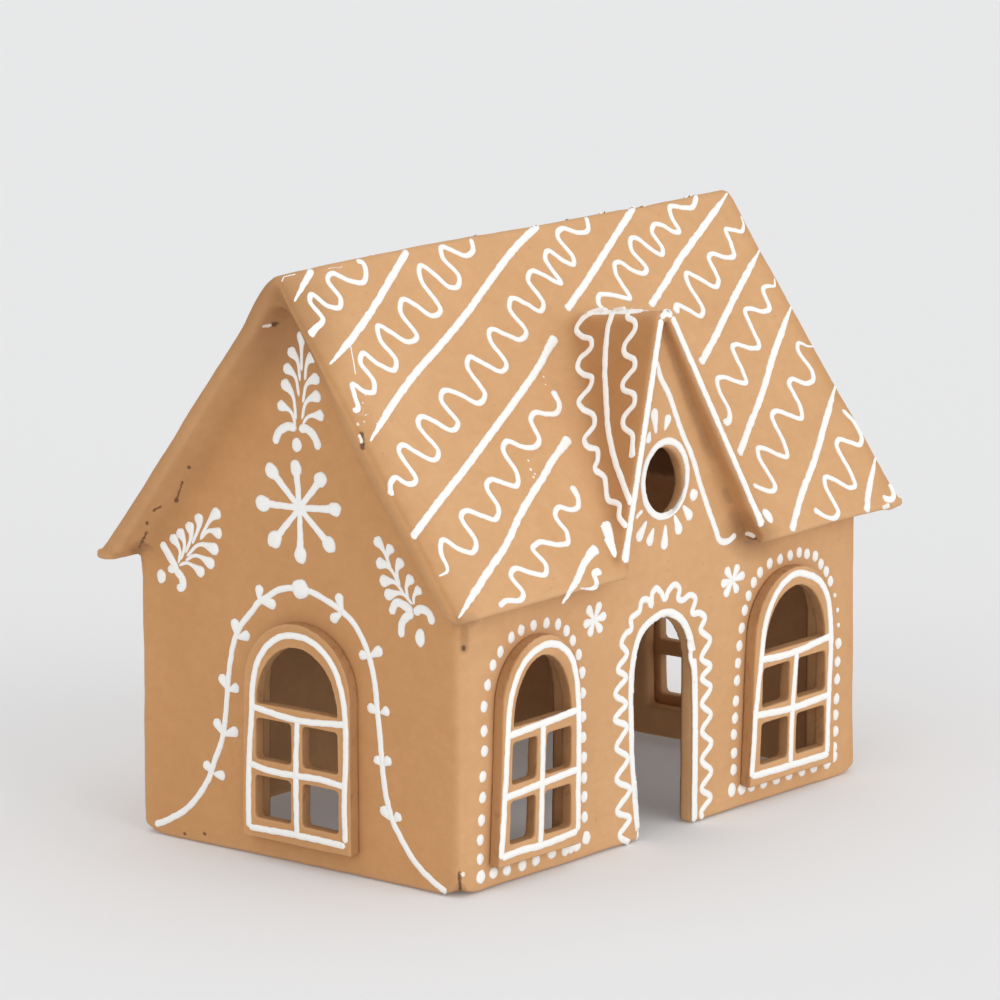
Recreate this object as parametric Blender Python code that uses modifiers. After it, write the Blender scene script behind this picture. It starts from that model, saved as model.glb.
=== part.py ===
"""Hand-built clay gingerbread house, open at the bottom.

One fired shell carries the walls, the steep roof, the dormer, the doorway and the window
recesses. Four window panels are applied to its walls from outside.

Frame: +X to the right along the front wall, -Y the front, +Z up, in metres. The origin is
on the ground under the middle of the roof, and the walls stand a little to its left.
"""
import math
from dataclasses import dataclass

import bmesh
import bpy
from mathutils import Matrix, Vector

MM = 0.001

# Walls
WALL_LENGTH = 215 * MM
WALL_DEPTH = 137.4 * MM
WALL_THICKNESS = 5.5 * MM
WALL_SHIFT = -2 * MM
CORNER_RADIUS = 3.2 * MM

# Main roof
ROOF_LENGTH = 242.5 * MM
ROOF_THICKNESS = 7 * MM
EAVE_REACH = 78.6 * MM
EAVE_HEIGHT = 95 * MM
APEX_HEIGHT = 200.5 * MM
RIDGE_RADIUS = 7 * MM
EDGE_RADIUS = 2.6 * MM
RIM_BEVEL = 2 * MM
FRONT_COVE = 8 * MM
BACK_COVE = 8.4 * MM
EAVE_CUT = 0.5 * MM

# Dormer: the front edge of its roof leans back more than its wall does
DORMER_MIDDLE = 2.8 * MM
DORMER_CREST_WIDTH = 6.6 * MM
DORMER_CREST_HEIGHT = 177.8 * MM
DORMER_FOOT_WIDTH = 80.4 * MM
DORMER_FOOT_HEIGHT = 98.4 * MM
DORMER_FOOT_DROP = 1.8 * MM
DORMER_FOOT_REACH = 77.4 * MM
DORMER_EDGE_LEAN = 0.163
DORMER_WALL_LEAN = 0.09
DORMER_WALL_START = 92 * MM
DORMER_WALL_THICKNESS = 4.6 * MM
DORMER_THICKNESS = 3.6 * MM
DORMER_RIDGE = Vector((0.10, 1.0, -0.15))

# Openings
DOOR_LEFT_FOOT = -13 * MM
DOOR_LEFT = -17.2 * MM
DOOR_RIGHT = 15.6 * MM
DOOR_SPRING = 56 * MM
DOOR_TOP = 75 * MM
OVAL_X = 2.8 * MM
OVAL_HEIGHT = 120.4 * MM
OVAL_WIDTH = 21.3 * MM
OVAL_TALL = 23 * MM

# Window panels
PANEL_THICKNESS = 4.3 * MM
PANEL_BOTTOM = 8 * MM
PANEL_SPRING = 60 * MM
PANEL_BORDER = 5.2 * MM
PANEL_EDGE = 0.9 * MM
RECESS_MARGIN = 3.4 * MM
LUNETTE_SILL = 53.8 * MM
PANE_ROWS = ((14.8 * MM, 29.3 * MM), (34.8 * MM, 48.7 * MM))
MULLION = 4.8 * MM
MULLION_LEAN = 0.8
PANE_CORNER = 1.6 * MM

# Play between pieces that touch, and how far a cutter passes what it cuts
GAP = 0.3 * MM
PASS = 12 * MM
BITE = 1 * MM

ARC_STEPS = 16
CORNER_STEPS = 4

CLAY = (0.50, 0.27, 0.12, 1.0)
CLAY_PANEL = (0.48, 0.26, 0.115, 1.0)


@dataclass(frozen=True)
class Face:
    """One outer wall face: a point at its foot, the way along it and the way out of it."""

    origin: Vector
    along: Vector
    out: Vector


@dataclass(frozen=True)
class Window:
    """An arched window on a face, placed by its middle along the face."""

    node: str
    face: Face
    middle: float
    width: float
    top: float
    brow: float
    foot_flare: float

    def flare(self, height):
        """How far the left side has spread at a height, from nothing at the spring."""
        drop = (PANEL_SPRING - height) / (PANEL_SPRING - PANEL_BOTTOM)
        return self.foot_flare * max(0.0, drop)

    def side(self, sign, height, inset):
        """Distance along the face of one side at a height, moved inwards by inset."""
        spread = self.flare(height) if sign < 0 else 0.0
        return self.middle + sign * (self.width / 2 + spread - inset)

    def mullion(self, sign, height):
        """Distance along the face of one side of the middle bar, which leans with the flare."""
        return self.middle - MULLION_LEAN * self.flare(height) + sign * MULLION / 2


WALL_LEFT = WALL_SHIFT - WALL_LENGTH / 2
WALL_RIGHT = WALL_SHIFT + WALL_LENGTH / 2
FRONT = Face(Vector((WALL_SHIFT, -WALL_DEPTH / 2, 0)), Vector((1, 0, 0)), Vector((0, -1, 0)))
LEFT = Face(Vector((WALL_LEFT, 0, 0)), Vector((0, -1, 0)), Vector((-1, 0, 0)))
RIGHT = Face(Vector((WALL_RIGHT, 0, 0)), Vector((0, 1, 0)), Vector((1, 0, 0)))
UP = Vector((0, 0, 1))

# Name, face, middle, width, top, border over the arched light, flare at the foot
WINDOWS = (
    Window("window_front_left", FRONT, -70.6 * MM, 40.2 * MM, 81.8 * MM, 6.6 * MM, 2.4 * MM),
    Window("window_front_right", FRONT, 67.6 * MM, 45.8 * MM, 81.2 * MM, 6.6 * MM, 2.4 * MM),
    Window("window_gable_left", LEFT, 2.8 * MM, 45.6 * MM, 82.4 * MM, 8.0 * MM, 0.8 * MM),
    Window("window_gable_right", RIGHT, 0.5 * MM, 45.6 * MM, 82.4 * MM, 8.0 * MM, 0.8 * MM),
)

PITCH = math.atan2(APEX_HEIGHT - EAVE_HEIGHT, EAVE_REACH)
UNDERSIDE_DROP = ROOF_THICKNESS / math.cos(PITCH)


def clear_scene():
    """Remove every object that the file starts with."""
    for item in list(bpy.data.objects):
        bpy.data.objects.remove(item, do_unlink=True)


def new_collection(name):
    """Add an empty collection to the scene."""
    collection = bpy.data.collections.new(name)
    bpy.context.scene.collection.children.link(collection)
    return collection


def clay_material(name, color):
    """Matt fired clay."""
    material = bpy.data.materials.new(name)
    material.use_nodes = True
    shader = material.node_tree.nodes["Principled BSDF"]
    shader.inputs["Base Color"].default_value = color
    shader.inputs["Roughness"].default_value = 0.85
    shader.inputs["Metallic"].default_value = 0.0
    return material


# ---------------------------------------------------------------- outlines

def arc(middle, radii, start, end, steps):
    """Points along an ellipse from one angle to another in degrees, both ends included."""
    points = []
    for step in range(steps + 1):
        angle = math.radians(start + (end - start) * step / steps)
        points.append((middle[0] + radii[0] * math.cos(angle),
                       middle[1] + radii[1] * math.sin(angle)))
    return points


def rounded(corners, radii, steps=CORNER_STEPS):
    """Round each corner of a closed outline: (x, z) corners and one reach per corner."""
    points = []
    count = len(corners)
    for index, corner in enumerate(corners):
        here = Vector(corner)
        reach = radii[index]
        if reach == 0:
            points.append(tuple(here))
            continue
        before = here + (Vector(corners[index - 1]) - here).normalized() * reach
        after = here + (Vector(corners[(index + 1) % count]) - here).normalized() * reach
        for step in range(steps + 1):
            t = step / steps
            point = before * (1 - t) ** 2 + here * 2 * t * (1 - t) + after * t ** 2
            points.append(tuple(point))
    return points


def window_outline(window, inset):
    """The arched outline of a window panel, moved inwards by inset."""
    foot = PANEL_BOTTOM + inset
    rise = window.top - inset - PANEL_SPRING
    half = window.width / 2 - inset
    points = [(window.side(-1, foot, inset), foot), (window.side(1, foot, inset), foot)]
    points += arc((window.middle, PANEL_SPRING), (half, rise), 0, 180, ARC_STEPS)
    return points


def lunette_outline(window):
    """The arched light over the four panes."""
    half = window.width / 2 - PANEL_BORDER
    rise = window.top - window.brow - LUNETTE_SILL
    return arc((window.middle, LUNETTE_SILL), (half, rise), 0, 180, ARC_STEPS)


def pane_outline(window, sign, row):
    """One of the four small panes, in the column on the side of sign."""
    bottom, top = row
    corners = [
        (window.mullion(sign, bottom), bottom),
        (window.side(sign, bottom, PANEL_BORDER), bottom),
        (window.side(sign, top, PANEL_BORDER), top),
        (window.mullion(sign, top), top),
    ]
    return rounded(corners, [PANE_CORNER] * 4, 3)


def door_outline():
    """The doorway: its left jamb leans out as it rises, its head is a low arch."""
    middle = (DOOR_LEFT + DOOR_RIGHT) / 2
    half = (DOOR_RIGHT - DOOR_LEFT) / 2
    points = [(DOOR_LEFT_FOOT, -PASS), (DOOR_RIGHT, -PASS)]
    points += arc((middle, DOOR_SPRING), (half, DOOR_TOP - DOOR_SPRING), 0, 180, ARC_STEPS)
    return points


def roof_profile():
    """Cross-section of the roof slab, seen along X, as (y, z)."""
    lip_in = ROOF_THICKNESS * math.sin(PITCH)
    lip_down = ROOF_THICKNESS * math.cos(PITCH)
    corners = [
        (-EAVE_REACH, EAVE_HEIGHT),
        (-EAVE_REACH + lip_in, EAVE_HEIGHT - lip_down),
        (0, APEX_HEIGHT - UNDERSIDE_DROP),
        (EAVE_REACH - lip_in, EAVE_HEIGHT - lip_down),
        (EAVE_REACH, EAVE_HEIGHT),
        (0, APEX_HEIGHT),
    ]
    reach = [EDGE_RADIUS, EDGE_RADIUS, RIDGE_RADIUS, EDGE_RADIUS, EDGE_RADIUS, RIDGE_RADIUS]
    return rounded(corners, reach)


def house_profile(half_depth, drop, foot):
    """Gable outline under the roof's outer surface, lowered by drop, as (y, z)."""
    slope = math.tan(PITCH)
    shoulder = APEX_HEIGHT - drop - half_depth * slope
    corners = [
        (-half_depth, foot),
        (half_depth, foot),
        (half_depth, shoulder),
        (0, APEX_HEIGHT - drop),
        (-half_depth, shoulder),
    ]
    return rounded(corners, [0, 0, 0, RIDGE_RADIUS, 0])


def dormer_profile(inset, foot):
    """Dormer gable in its front edge's plane, as (x, z): feet, then the two crest corners.

    All sides are moved inwards by inset, and the feet are cut at the height foot.
    """
    height = DORMER_CREST_HEIGHT - DORMER_FOOT_HEIGHT
    run = (DORMER_FOOT_WIDTH - DORMER_CREST_WIDTH) / 2 / height
    crest = DORMER_CREST_HEIGHT - inset
    half_crest = DORMER_CREST_WIDTH / 2 + inset * (run - math.hypot(1, run))
    half_foot = half_crest + run * (crest - foot)
    return [
        (DORMER_MIDDLE - half_foot, foot),
        (DORMER_MIDDLE + half_foot, foot),
        (DORMER_MIDDLE + half_crest, crest),
        (DORMER_MIDDLE - half_crest, crest),
    ]


# ---------------------------------------------------------------- solids

def swept(name, outlines, origin, across, up, sweep, collection):
    """Sweep a flat outline, with any holes, along a vector into a closed mesh.

    The outline's first number runs along across and its second along up, both from origin.
    """
    curve = bpy.data.curves.new(name, "CURVE")
    curve.dimensions = "2D"
    curve.fill_mode = "BOTH"
    curve.extrude = 0.5
    for outline in outlines:
        spline = curve.splines.new("POLY")
        spline.points.add(len(outline) - 1)
        for point, place in zip(spline.points, outline):
            point.co = (place[0], place[1], 0, 1)
        spline.use_cyclic_u = True
    guide = bpy.data.objects.new(name + "_outline", curve)
    collection.objects.link(guide)
    bpy.context.view_layer.update()
    evaluated = guide.evaluated_get(bpy.context.evaluated_depsgraph_get())
    mesh = bpy.data.meshes.new_from_object(evaluated)
    bpy.data.objects.remove(guide, do_unlink=True)
    mesh.name = name

    middle = origin + sweep / 2
    place = Matrix((across, up, sweep)).transposed().to_4x4()
    place.translation = middle
    mesh.transform(place)
    shell = bmesh.new()
    shell.from_mesh(mesh)
    bmesh.ops.remove_doubles(shell, verts=shell.verts, dist=0.01 * MM)
    bmesh.ops.dissolve_limit(shell, angle_limit=math.radians(0.5), verts=shell.verts,
                             edges=shell.edges)
    bmesh.ops.recalc_face_normals(shell, faces=shell.faces)
    shell.to_mesh(mesh)
    shell.free()
    item = bpy.data.objects.new(name, mesh)
    collection.objects.link(item)
    return item


def along_x(name, outline, start, end, collection):
    """Sweep a (y, z) outline along X."""
    return swept(name, [outline], Vector((start, 0, 0)), Vector((0, 1, 0)), UP,
                 Vector((end - start, 0, 0)), collection)


def soften(item, width, segments=2, angle=50):
    """Round the edges that are sharper than angle."""
    bevel = item.modifiers.new("soft_edges", "BEVEL")
    bevel.width = width
    bevel.segments = segments
    bevel.limit_method = "ANGLE"
    bevel.angle_limit = math.radians(angle)
    bevel.use_clamp_overlap = True


def combine(item, other, operation):
    """Join, cut or intersect an object with another, which is then only a tool."""
    boolean = item.modifiers.new(other.name, "BOOLEAN")
    boolean.operation = operation
    boolean.solver = "EXACT"
    boolean.object = other
    other.hide_render = True
    other.display_type = "WIRE"


def wall_block(collection):
    """Walls as a full block with round upright corners."""
    half_y = WALL_DEPTH / 2
    plan = [(WALL_LEFT, -half_y), (WALL_RIGHT, -half_y), (WALL_RIGHT, half_y), (WALL_LEFT, half_y)]
    outline = rounded(plan, [CORNER_RADIUS] * 4)
    return swept("house_shell", [outline], Vector((0, 0, 0)), Vector((1, 0, 0)),
                 Vector((0, 1, 0)), UP * APEX_HEIGHT, collection)


def cove_outline(reach):
    """A concave quarter-round that fills the corner at (0, 0), with a bite past it."""
    curve = arc((reach, reach), (reach, reach), 270, 180, 6)
    return [(-BITE, -BITE), (reach, -BITE)] + curve + [(-BITE, reach)]


def gable_cove(name, face, slope, collection):
    """The cove between a gable wall and the roof's underside above it.

    face is the left or right gable, slope -1 or 1 for the front or back slope.
    """
    reach_y = WALL_DEPTH / 2 - CORNER_RADIUS
    start_height = APEX_HEIGHT - UNDERSIDE_DROP - reach_y * math.tan(PITCH)
    origin = face.origin + Vector((0, slope * reach_y, start_height))
    upwards = Vector((0, -slope * math.cos(PITCH), math.sin(PITCH)))
    inwards = Vector((0, -slope * math.sin(PITCH), -math.cos(PITCH)))
    length = reach_y / math.cos(PITCH) + BITE
    outline = cove_outline(FRONT_COVE if slope < 0 else BACK_COVE)
    return swept(name, [outline], origin, face.out, inwards, upwards * length, collection)


def eave_trim(name, side, collection):
    """The space under one eave, whose underside is cut level from the wall to its tip."""
    near = side * (WALL_DEPTH / 2 + GAP)
    far = side * (EAVE_REACH + PASS)
    sole = EAVE_HEIGHT - EAVE_CUT
    outline = [(near, sole - PASS), (far, sole - PASS), (far, sole), (near, sole)]
    reach = ROOF_LENGTH / 2 + PASS
    return along_x(name, outline, -reach, reach, collection)


def dormer_prism(name, outlines, ahead, behind, collection):
    """Sweep dormer outlines along the dormer's ridge.

    ahead and behind are how far in front of and behind its front edge the prism reaches.
    """
    foot_y = -DORMER_FOOT_REACH - DORMER_FOOT_HEIGHT * DORMER_EDGE_LEAN
    origin = Vector((0, foot_y, 0)) - DORMER_RIDGE * ahead
    return swept(name, outlines, origin, Vector((1, 0, 0)),
                 Vector((0, DORMER_EDGE_LEAN, 1)), DORMER_RIDGE * (ahead + behind), collection)


def dormer_roof(collection):
    """The two thin slopes of the dormer, joined at its ridge."""
    foot = DORMER_FOOT_HEIGHT - DORMER_FOOT_DROP
    outer = dormer_profile(0, foot)
    inner = dormer_profile(DORMER_THICKNESS, foot)
    corners = [outer[0], inner[0], inner[3], inner[2], inner[1], outer[1], outer[2], outer[3]]
    crest = DORMER_CREST_WIDTH * 0.45
    inner_crest = DORMER_CREST_WIDTH * 0.08
    outline = rounded(corners, [0, 0, inner_crest, inner_crest, 0, 0, crest, crest])
    slopes = dormer_prism("dormer_roof", [outline], 0, 66 * MM, collection)
    soften(slopes, 1.1 * MM)
    return slopes


def dormer_wall(collection, guides):
    """The dormer's leaning front wall, let into its slopes."""
    foot = DORMER_WALL_START - 1 * MM
    top = DORMER_CREST_HEIGHT
    front = -WALL_DEPTH / 2
    lean = DORMER_WALL_LEAN * (top - DORMER_WALL_START)
    slip = DORMER_WALL_LEAN * (foot - DORMER_WALL_START)
    outline = [
        (front + slip, foot),
        (front + slip + DORMER_WALL_THICKNESS, foot),
        (front + lean + DORMER_WALL_THICKNESS, top),
        (front + lean, top),
    ]
    wall = along_x("dormer_wall", outline, WALL_LEFT / 2, WALL_RIGHT / 2, collection)
    body = dormer_profile(DORMER_THICKNESS / 2, DORMER_WALL_START - PASS)
    limit = dormer_prism("dormer_wall_limit", [body], PASS, 40 * MM, guides)
    combine(wall, limit, "INTERSECT")
    return wall


def house_shell(parts, tools):
    """Walls, roof and dormer in one hollow piece, with all its openings cut."""
    shell = wall_block(parts)
    under_roof = house_profile(EAVE_REACH, ROOF_THICKNESS / 2 / math.cos(PITCH), -PASS)
    half = ROOF_LENGTH / 2
    combine(shell, along_x("gable_limit", under_roof, -half, half, tools), "INTERSECT")

    roof = along_x("roof_slab", roof_profile(), -half, half, tools)
    soften(roof, RIM_BEVEL)
    combine(shell, roof, "UNION")
    for face, end in ((LEFT, "left"), (RIGHT, "right")):
        for slope, way in ((-1, "front"), (1, "back")):
            combine(shell, gable_cove(f"cove_{end}_{way}", face, slope, tools), "UNION")
    for side, way in ((-1, "front"), (1, "back")):
        combine(shell, eave_trim(f"eave_trim_{way}", side, tools), "DIFFERENCE")
    combine(shell, dormer_roof(tools), "UNION")

    inner_half = WALL_DEPTH / 2 - WALL_THICKNESS
    inside = house_profile(inner_half, UNDERSIDE_DROP, -PASS)
    start = WALL_LEFT + WALL_THICKNESS
    end = WALL_RIGHT - WALL_THICKNESS
    combine(shell, along_x("room", inside, start, end, tools), "DIFFERENCE")
    loft = dormer_profile(DORMER_THICKNESS, DORMER_WALL_START + 3 * MM)
    combine(shell, dormer_prism("dormer_loft", [loft], PASS, 78 * MM, tools), "DIFFERENCE")
    combine(shell, eave_break(tools), "DIFFERENCE")
    combine(shell, dormer_wall(tools, tools), "UNION")

    combine(shell, opening("doorway", FRONT, door_outline(), tools), "DIFFERENCE")
    oval = arc((OVAL_X, OVAL_HEIGHT), (OVAL_WIDTH / 2, OVAL_TALL / 2), 0,
               360 - 360 / ARC_STEPS / 1.5, round(ARC_STEPS * 1.5) - 1)
    combine(shell, opening("dormer_eye", FRONT, oval, tools), "DIFFERENCE")
    for window in WINDOWS:
        recess = window_outline(window, RECESS_MARGIN)
        cutter = opening(window.node + "_recess", window.face, recess, tools)
        combine(shell, cutter, "DIFFERENCE")
    return shell


def eave_break(collection):
    """Space in front of the wall where the dormer interrupts the eave."""
    foot = dormer_profile(DORMER_THICKNESS, DORMER_FOOT_HEIGHT)
    left, right = foot[0][0], foot[1][0]
    outline = [(left, 84 * MM), (right, 84 * MM), (right, 100 * MM), (left, 100 * MM)]
    wall_face = Vector((0, FRONT.origin.y, 0))
    return swept("eave_break", [outline], wall_face, FRONT.along, UP, FRONT.out * 2 * PASS,
                 collection)


def opening(name, face, outline, collection):
    """A cutter through a wall, from outside it to just inside it."""
    inside = face.origin - face.out * (WALL_THICKNESS + PASS)
    return swept(name, [outline], inside, face.along, UP,
                 face.out * (WALL_THICKNESS + 2 * PASS), collection)


def window_panel(window, collection):
    """An arched slab on the wall with one arched light above four panes."""
    outlines = [window_outline(window, 0), lunette_outline(window)]
    for row in PANE_ROWS:
        for sign in (-1, 1):
            outlines.append(pane_outline(window, sign, row))
    foot = window.face.origin + window.face.out * GAP
    panel = swept(window.node, outlines, foot, window.face.along, UP,
                  window.face.out * PANEL_THICKNESS, collection)
    soften(panel, PANEL_EDGE, 2, 60)
    return panel


def main():
    """Build the shell and its four window panels."""
    clear_scene()
    parts = new_collection("gingerbread_house")
    tools = new_collection("cutters")
    clay = clay_material("clay", CLAY)
    panel_clay = clay_material("panel_clay", CLAY_PANEL)

    shell = house_shell(parts, tools)
    shell.data.materials.append(clay)
    for window in WINDOWS:
        panel = window_panel(window, parts)
        panel.data.materials.append(panel_clay)


main()
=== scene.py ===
"""Dresses the hand-built clay gingerbread house in its skin, slip ornament and finishes.

Every wall and slope has its own flat frame, whose spots are written in millimetres: the
first number runs across it and the second up it. All other lengths are in metres.
"""
import logging
import math
from dataclasses import dataclass, field
from enum import Enum
from typing import Callable, Sequence

import bmesh
import bpy
import numpy as np
from mathutils import Matrix, Vector, noise
from mathutils.bvhtree import BVHTree


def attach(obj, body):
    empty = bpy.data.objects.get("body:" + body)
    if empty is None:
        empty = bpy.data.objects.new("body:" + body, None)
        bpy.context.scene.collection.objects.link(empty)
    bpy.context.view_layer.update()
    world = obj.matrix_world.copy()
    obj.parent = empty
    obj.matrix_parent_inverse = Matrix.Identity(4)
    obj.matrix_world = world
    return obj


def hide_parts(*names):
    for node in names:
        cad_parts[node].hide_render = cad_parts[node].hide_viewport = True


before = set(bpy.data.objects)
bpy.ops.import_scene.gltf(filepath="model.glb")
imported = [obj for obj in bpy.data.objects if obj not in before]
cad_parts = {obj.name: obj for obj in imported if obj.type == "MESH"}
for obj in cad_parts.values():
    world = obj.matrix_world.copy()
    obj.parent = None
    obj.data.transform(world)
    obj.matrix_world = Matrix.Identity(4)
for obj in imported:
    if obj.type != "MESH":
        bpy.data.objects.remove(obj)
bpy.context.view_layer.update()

noise.seed_set(11)

LOG = logging.getLogger("gingerbread_house")
MM = 0.001
ROOT = "root"

Spot = tuple[float, float]
Spots = Sequence[Spot]
Color = tuple[float, float, float, float]
Profile = Callable[[float], float]


# ---------------------------------------------------------------- frames

@dataclass(frozen=True)
class Facet:
    """A flat frame laid on one wall or slope of the house.

    Attributes:
        origin: The point that its spots are measured from.
        across: Way of a spot's first number.
        up: Way of a spot's second number.
        lean: Way from the clay towards the hand that pipes on it, or None for straight out.
        reach: How far the clay may lie behind and in front of the facet, in millimetres.
        fall: How much the clay may step under one stroke, in millimetres.
    """

    origin: Vector
    across: Vector
    up: Vector
    lean: Vector | None = None
    reach: Spot = (3.0, 8.0)
    fall: float = 1.3

    @property
    def out(self) -> Vector:
        """Way straight off the facet."""
        return self.across.cross(self.up).normalized()

    @property
    def way(self) -> Vector:
        """Way towards the hand that pipes on it."""
        return self.out if self.lean is None else self.lean

    def place(self, spot: Sequence[float]) -> Vector:
        """The point of a spot that is given in millimetres."""
        return self.origin + (self.across * spot[0] + self.up * spot[1]) * MM


def leaning(right: float, ahead: float = 1.0) -> Vector:
    """Way towards a hand that works from one side: right or left, ahead or behind."""
    return Vector((0.7594 * right, -0.6181 * ahead, 0.2030)).normalized()


@dataclass(frozen=True)
class HousePlan:
    """Named sizes that the facets are laid out from, in millimetres."""

    wall_middle: float = -2.0
    wall_length: float = 215.0
    wall_depth: float = 137.4
    slope_foot: Spot = (-77.7, 96.2)
    slope_pitch: float = math.radians(52.8)
    dormer_wall_foot: float = 92.0
    dormer_lean: Spot = (0.11, 0.09)
    crest: Spot = (177.8, 6.6)
    foot: Spot = (98.4, 80.4)
    dormer_middle: float = 2.8
    dormer_reach: float = 77.4
    rim_lean: float = 0.163
    dormer_ridge: tuple[float, float, float] = (0.10, 1.0, -0.15)

    def wall(self, way: Vector) -> Facet:
        """The facet of the wall that faces way, from the ground under its middle."""
        half = self.wall_length / 2 if abs(way.x) > 0.5 else self.wall_depth / 2
        foot = Vector((self.wall_middle, 0, 0)) * MM + way * half * MM
        across, up = Vector((-way.y, way.x, 0)), Vector((0, 0, 1))
        if abs(way.x) < 0.5:
            return Facet(foot, across, up, fall=0.8)
        return Facet(foot, across, up, leaning(way.x, -way.x), (3.0, 12.5), 2.4)

    def slope(self, side: int) -> Facet:
        """The facet of the front (-1) or rear (1) slope, from the middle of its eave."""
        reach, height = self.slope_foot
        rise = Vector((0, -side * math.cos(self.slope_pitch), math.sin(self.slope_pitch)))
        origin = Vector((self.wall_middle, -side * reach, height)) * MM
        return Facet(origin, Vector((-side, 0, 0)), rise, leaning(side, -side), (5.5, 2.2))

    def dormer_wall(self) -> Facet:
        """The facet of the dormer's front wall, which leans back and a little to the right."""
        origin = Vector((self.wall_middle, -self.wall_depth / 2, self.dormer_wall_foot)) * MM
        lean_right, lean_back = self.dormer_lean
        return Facet(origin, Vector((1, 0, 0)), Vector((lean_right, lean_back, 0.97)),
                     leaning(-1), (3.0, 5.0))

    def rim_point(self, side: int, height: float) -> Vector:
        """A point on the dormer's front edge, on its outer corner line."""
        crest_height, crest_width = self.crest
        foot_height, foot_width = self.foot
        share = (crest_height - height) / (crest_height - foot_height)
        half = (crest_width + (foot_width - crest_width) * share) / 2
        depth = -self.dormer_reach + self.rim_lean * (height - foot_height)
        return Vector((self.dormer_middle + side * half, depth, height)) * MM

    def dormer_rim(self) -> Facet:
        """The facet of the dormer's front edge; heights are measured from the ground."""
        rise = Vector((0, self.rim_lean, 1))
        foot = Vector((self.wall_middle, -self.dormer_reach, self.foot[0])) * MM
        return Facet(foot - rise * self.foot[0] * MM, Vector((1, 0, 0)), rise,
                     leaning(-1), (4.5, 3.0))

    def dormer_slope(self, side: int) -> Facet:
        """The facet of the dormer's left (-1) or right (1) slope, from its crest corner."""
        crest = self.rim_point(side, self.crest[0])
        edge = crest - self.rim_point(side, self.foot[0])
        ridge = Vector(self.dormer_ridge).normalized()
        rise = (edge - ridge * edge.dot(ridge)).normalized()
        return Facet(crest, ridge * side, rise, leaning(side), (14.0, 14.0), 1.8)


PLAN = HousePlan()
FRONT = PLAN.wall(Vector((0, -1, 0)))
GABLE = PLAN.wall(Vector((-1, 0, 0)))
FAR_GABLE = PLAN.wall(Vector((1, 0, 0)))
GABLE_PANEL, FAR_GABLE_PANEL = (Facet(wall.origin, wall.across, wall.up)
                                for wall in (GABLE, FAR_GABLE))
SLOPE = PLAN.slope(-1)
FAR_SLOPE = PLAN.slope(1)
DORMER_WALL = PLAN.dormer_wall()
DORMER_RIM = PLAN.dormer_rim()
DORMER_SLOPES = (PLAN.dormer_slope(-1), PLAN.dormer_slope(1))
ROOF_END = 121.25


# ---------------------------------------------------------------- shader groups

class NodeGroup:
    """A shader node group that is built once and placed in several materials."""

    def __init__(self, name: str, inputs: dict[str, tuple[str, object]],
                 outputs: dict[str, str]) -> None:
        """Start an empty group.

        Args:
            name: The group's name.
            inputs: Socket name to its type and its value at rest.
            outputs: Socket name to its type.
        """
        self.tree = bpy.data.node_groups.new(name, "ShaderNodeTree")
        for label, (kind, value) in inputs.items():
            socket = self.tree.interface.new_socket(label, in_out="INPUT", socket_type=kind)
            socket.default_value = value
        for label, kind in outputs.items():
            self.tree.interface.new_socket(label, in_out="OUTPUT", socket_type=kind)
        self.given = self.tree.nodes.new("NodeGroupInput")
        self.result = self.tree.nodes.new("NodeGroupOutput")

    def add(self, kind: str, **settings: object) -> bpy.types.Node:
        """Add a node and set its properties."""
        return add_node(self.tree, kind, **settings)

    def link(self, start: bpy.types.NodeSocket, end: bpy.types.NodeSocket) -> None:
        """Join two sockets."""
        self.tree.links.new(start, end)


def add_node(tree: bpy.types.NodeTree, kind: str, **settings: object) -> bpy.types.Node:
    """Add a node to a tree.

    Args:
        tree: The tree.
        kind: The node's type name.
        **settings: Properties; a name that ends in _in sets the input socket of that name.

    Returns:
        The node.
    """
    node = tree.nodes.new(kind)
    for name, value in settings.items():
        if name.endswith("_in"):
            node.inputs[name[:-3].replace("_", " ")].default_value = value
        else:
            setattr(node, name, value)
    return node


def math_node(group: NodeGroup, operation: str, first: object, second: object = None,
              clamp: bool = False) -> bpy.types.NodeSocket:
    """A Math node fed by sockets or numbers.

    Args:
        group: The group that it goes in.
        operation: The Math node's operation.
        first: Its first input, a socket or a number.
        second: Its second input, a socket or a number, or None.
        clamp: Whether the result is held between 0 and 1.

    Returns:
        The node's output socket.
    """
    node = group.add("ShaderNodeMath", operation=operation, use_clamp=clamp)
    for index, value in enumerate((first, second)):
        if isinstance(value, bpy.types.NodeSocket):
            group.link(value, node.inputs[index])
        elif value is not None:
            node.inputs[index].default_value = value
    return node.outputs[0]


def blotch_group() -> bpy.types.NodeTree:
    """Soft blotches of two sizes, where paint lies thicker or the clay has burnt darker."""
    group = NodeGroup(
        "paint_blotches",
        {"Vector": ("NodeSocketVector", (0, 0, 0)), "Broad Scale": ("NodeSocketFloat", 30.0),
         "Small Scale": ("NodeSocketFloat", 160.0), "Small Share": ("NodeSocketFloat", 0.4)},
        {"Mask": "NodeSocketFloat"})
    given = group.given.outputs
    broad = group.add("ShaderNodeTexNoise", Detail_in=3.0, Roughness_in=0.55)
    small = group.add("ShaderNodeTexNoise", Detail_in=4.0, Roughness_in=0.6, Distortion_in=0.4)
    for node, scale in ((broad, "Broad Scale"), (small, "Small Scale")):
        group.link(given["Vector"], node.inputs["Vector"])
        group.link(given[scale], node.inputs["Scale"])
    mixed = group.add("ShaderNodeMix", data_type="FLOAT")
    group.link(given["Small Share"], mixed.inputs["Factor"])
    group.link(broad.outputs[0], mixed.inputs["A"])
    group.link(small.outputs[0], mixed.inputs["B"])
    ranged = group.add("ShaderNodeMapRange")
    ranged.inputs["From Min"].default_value = 0.34
    ranged.inputs["From Max"].default_value = 0.66
    group.link(mixed.outputs[0], ranged.inputs["Value"])
    group.link(ranged.outputs[0], group.result.inputs["Mask"])
    return group.tree


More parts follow.
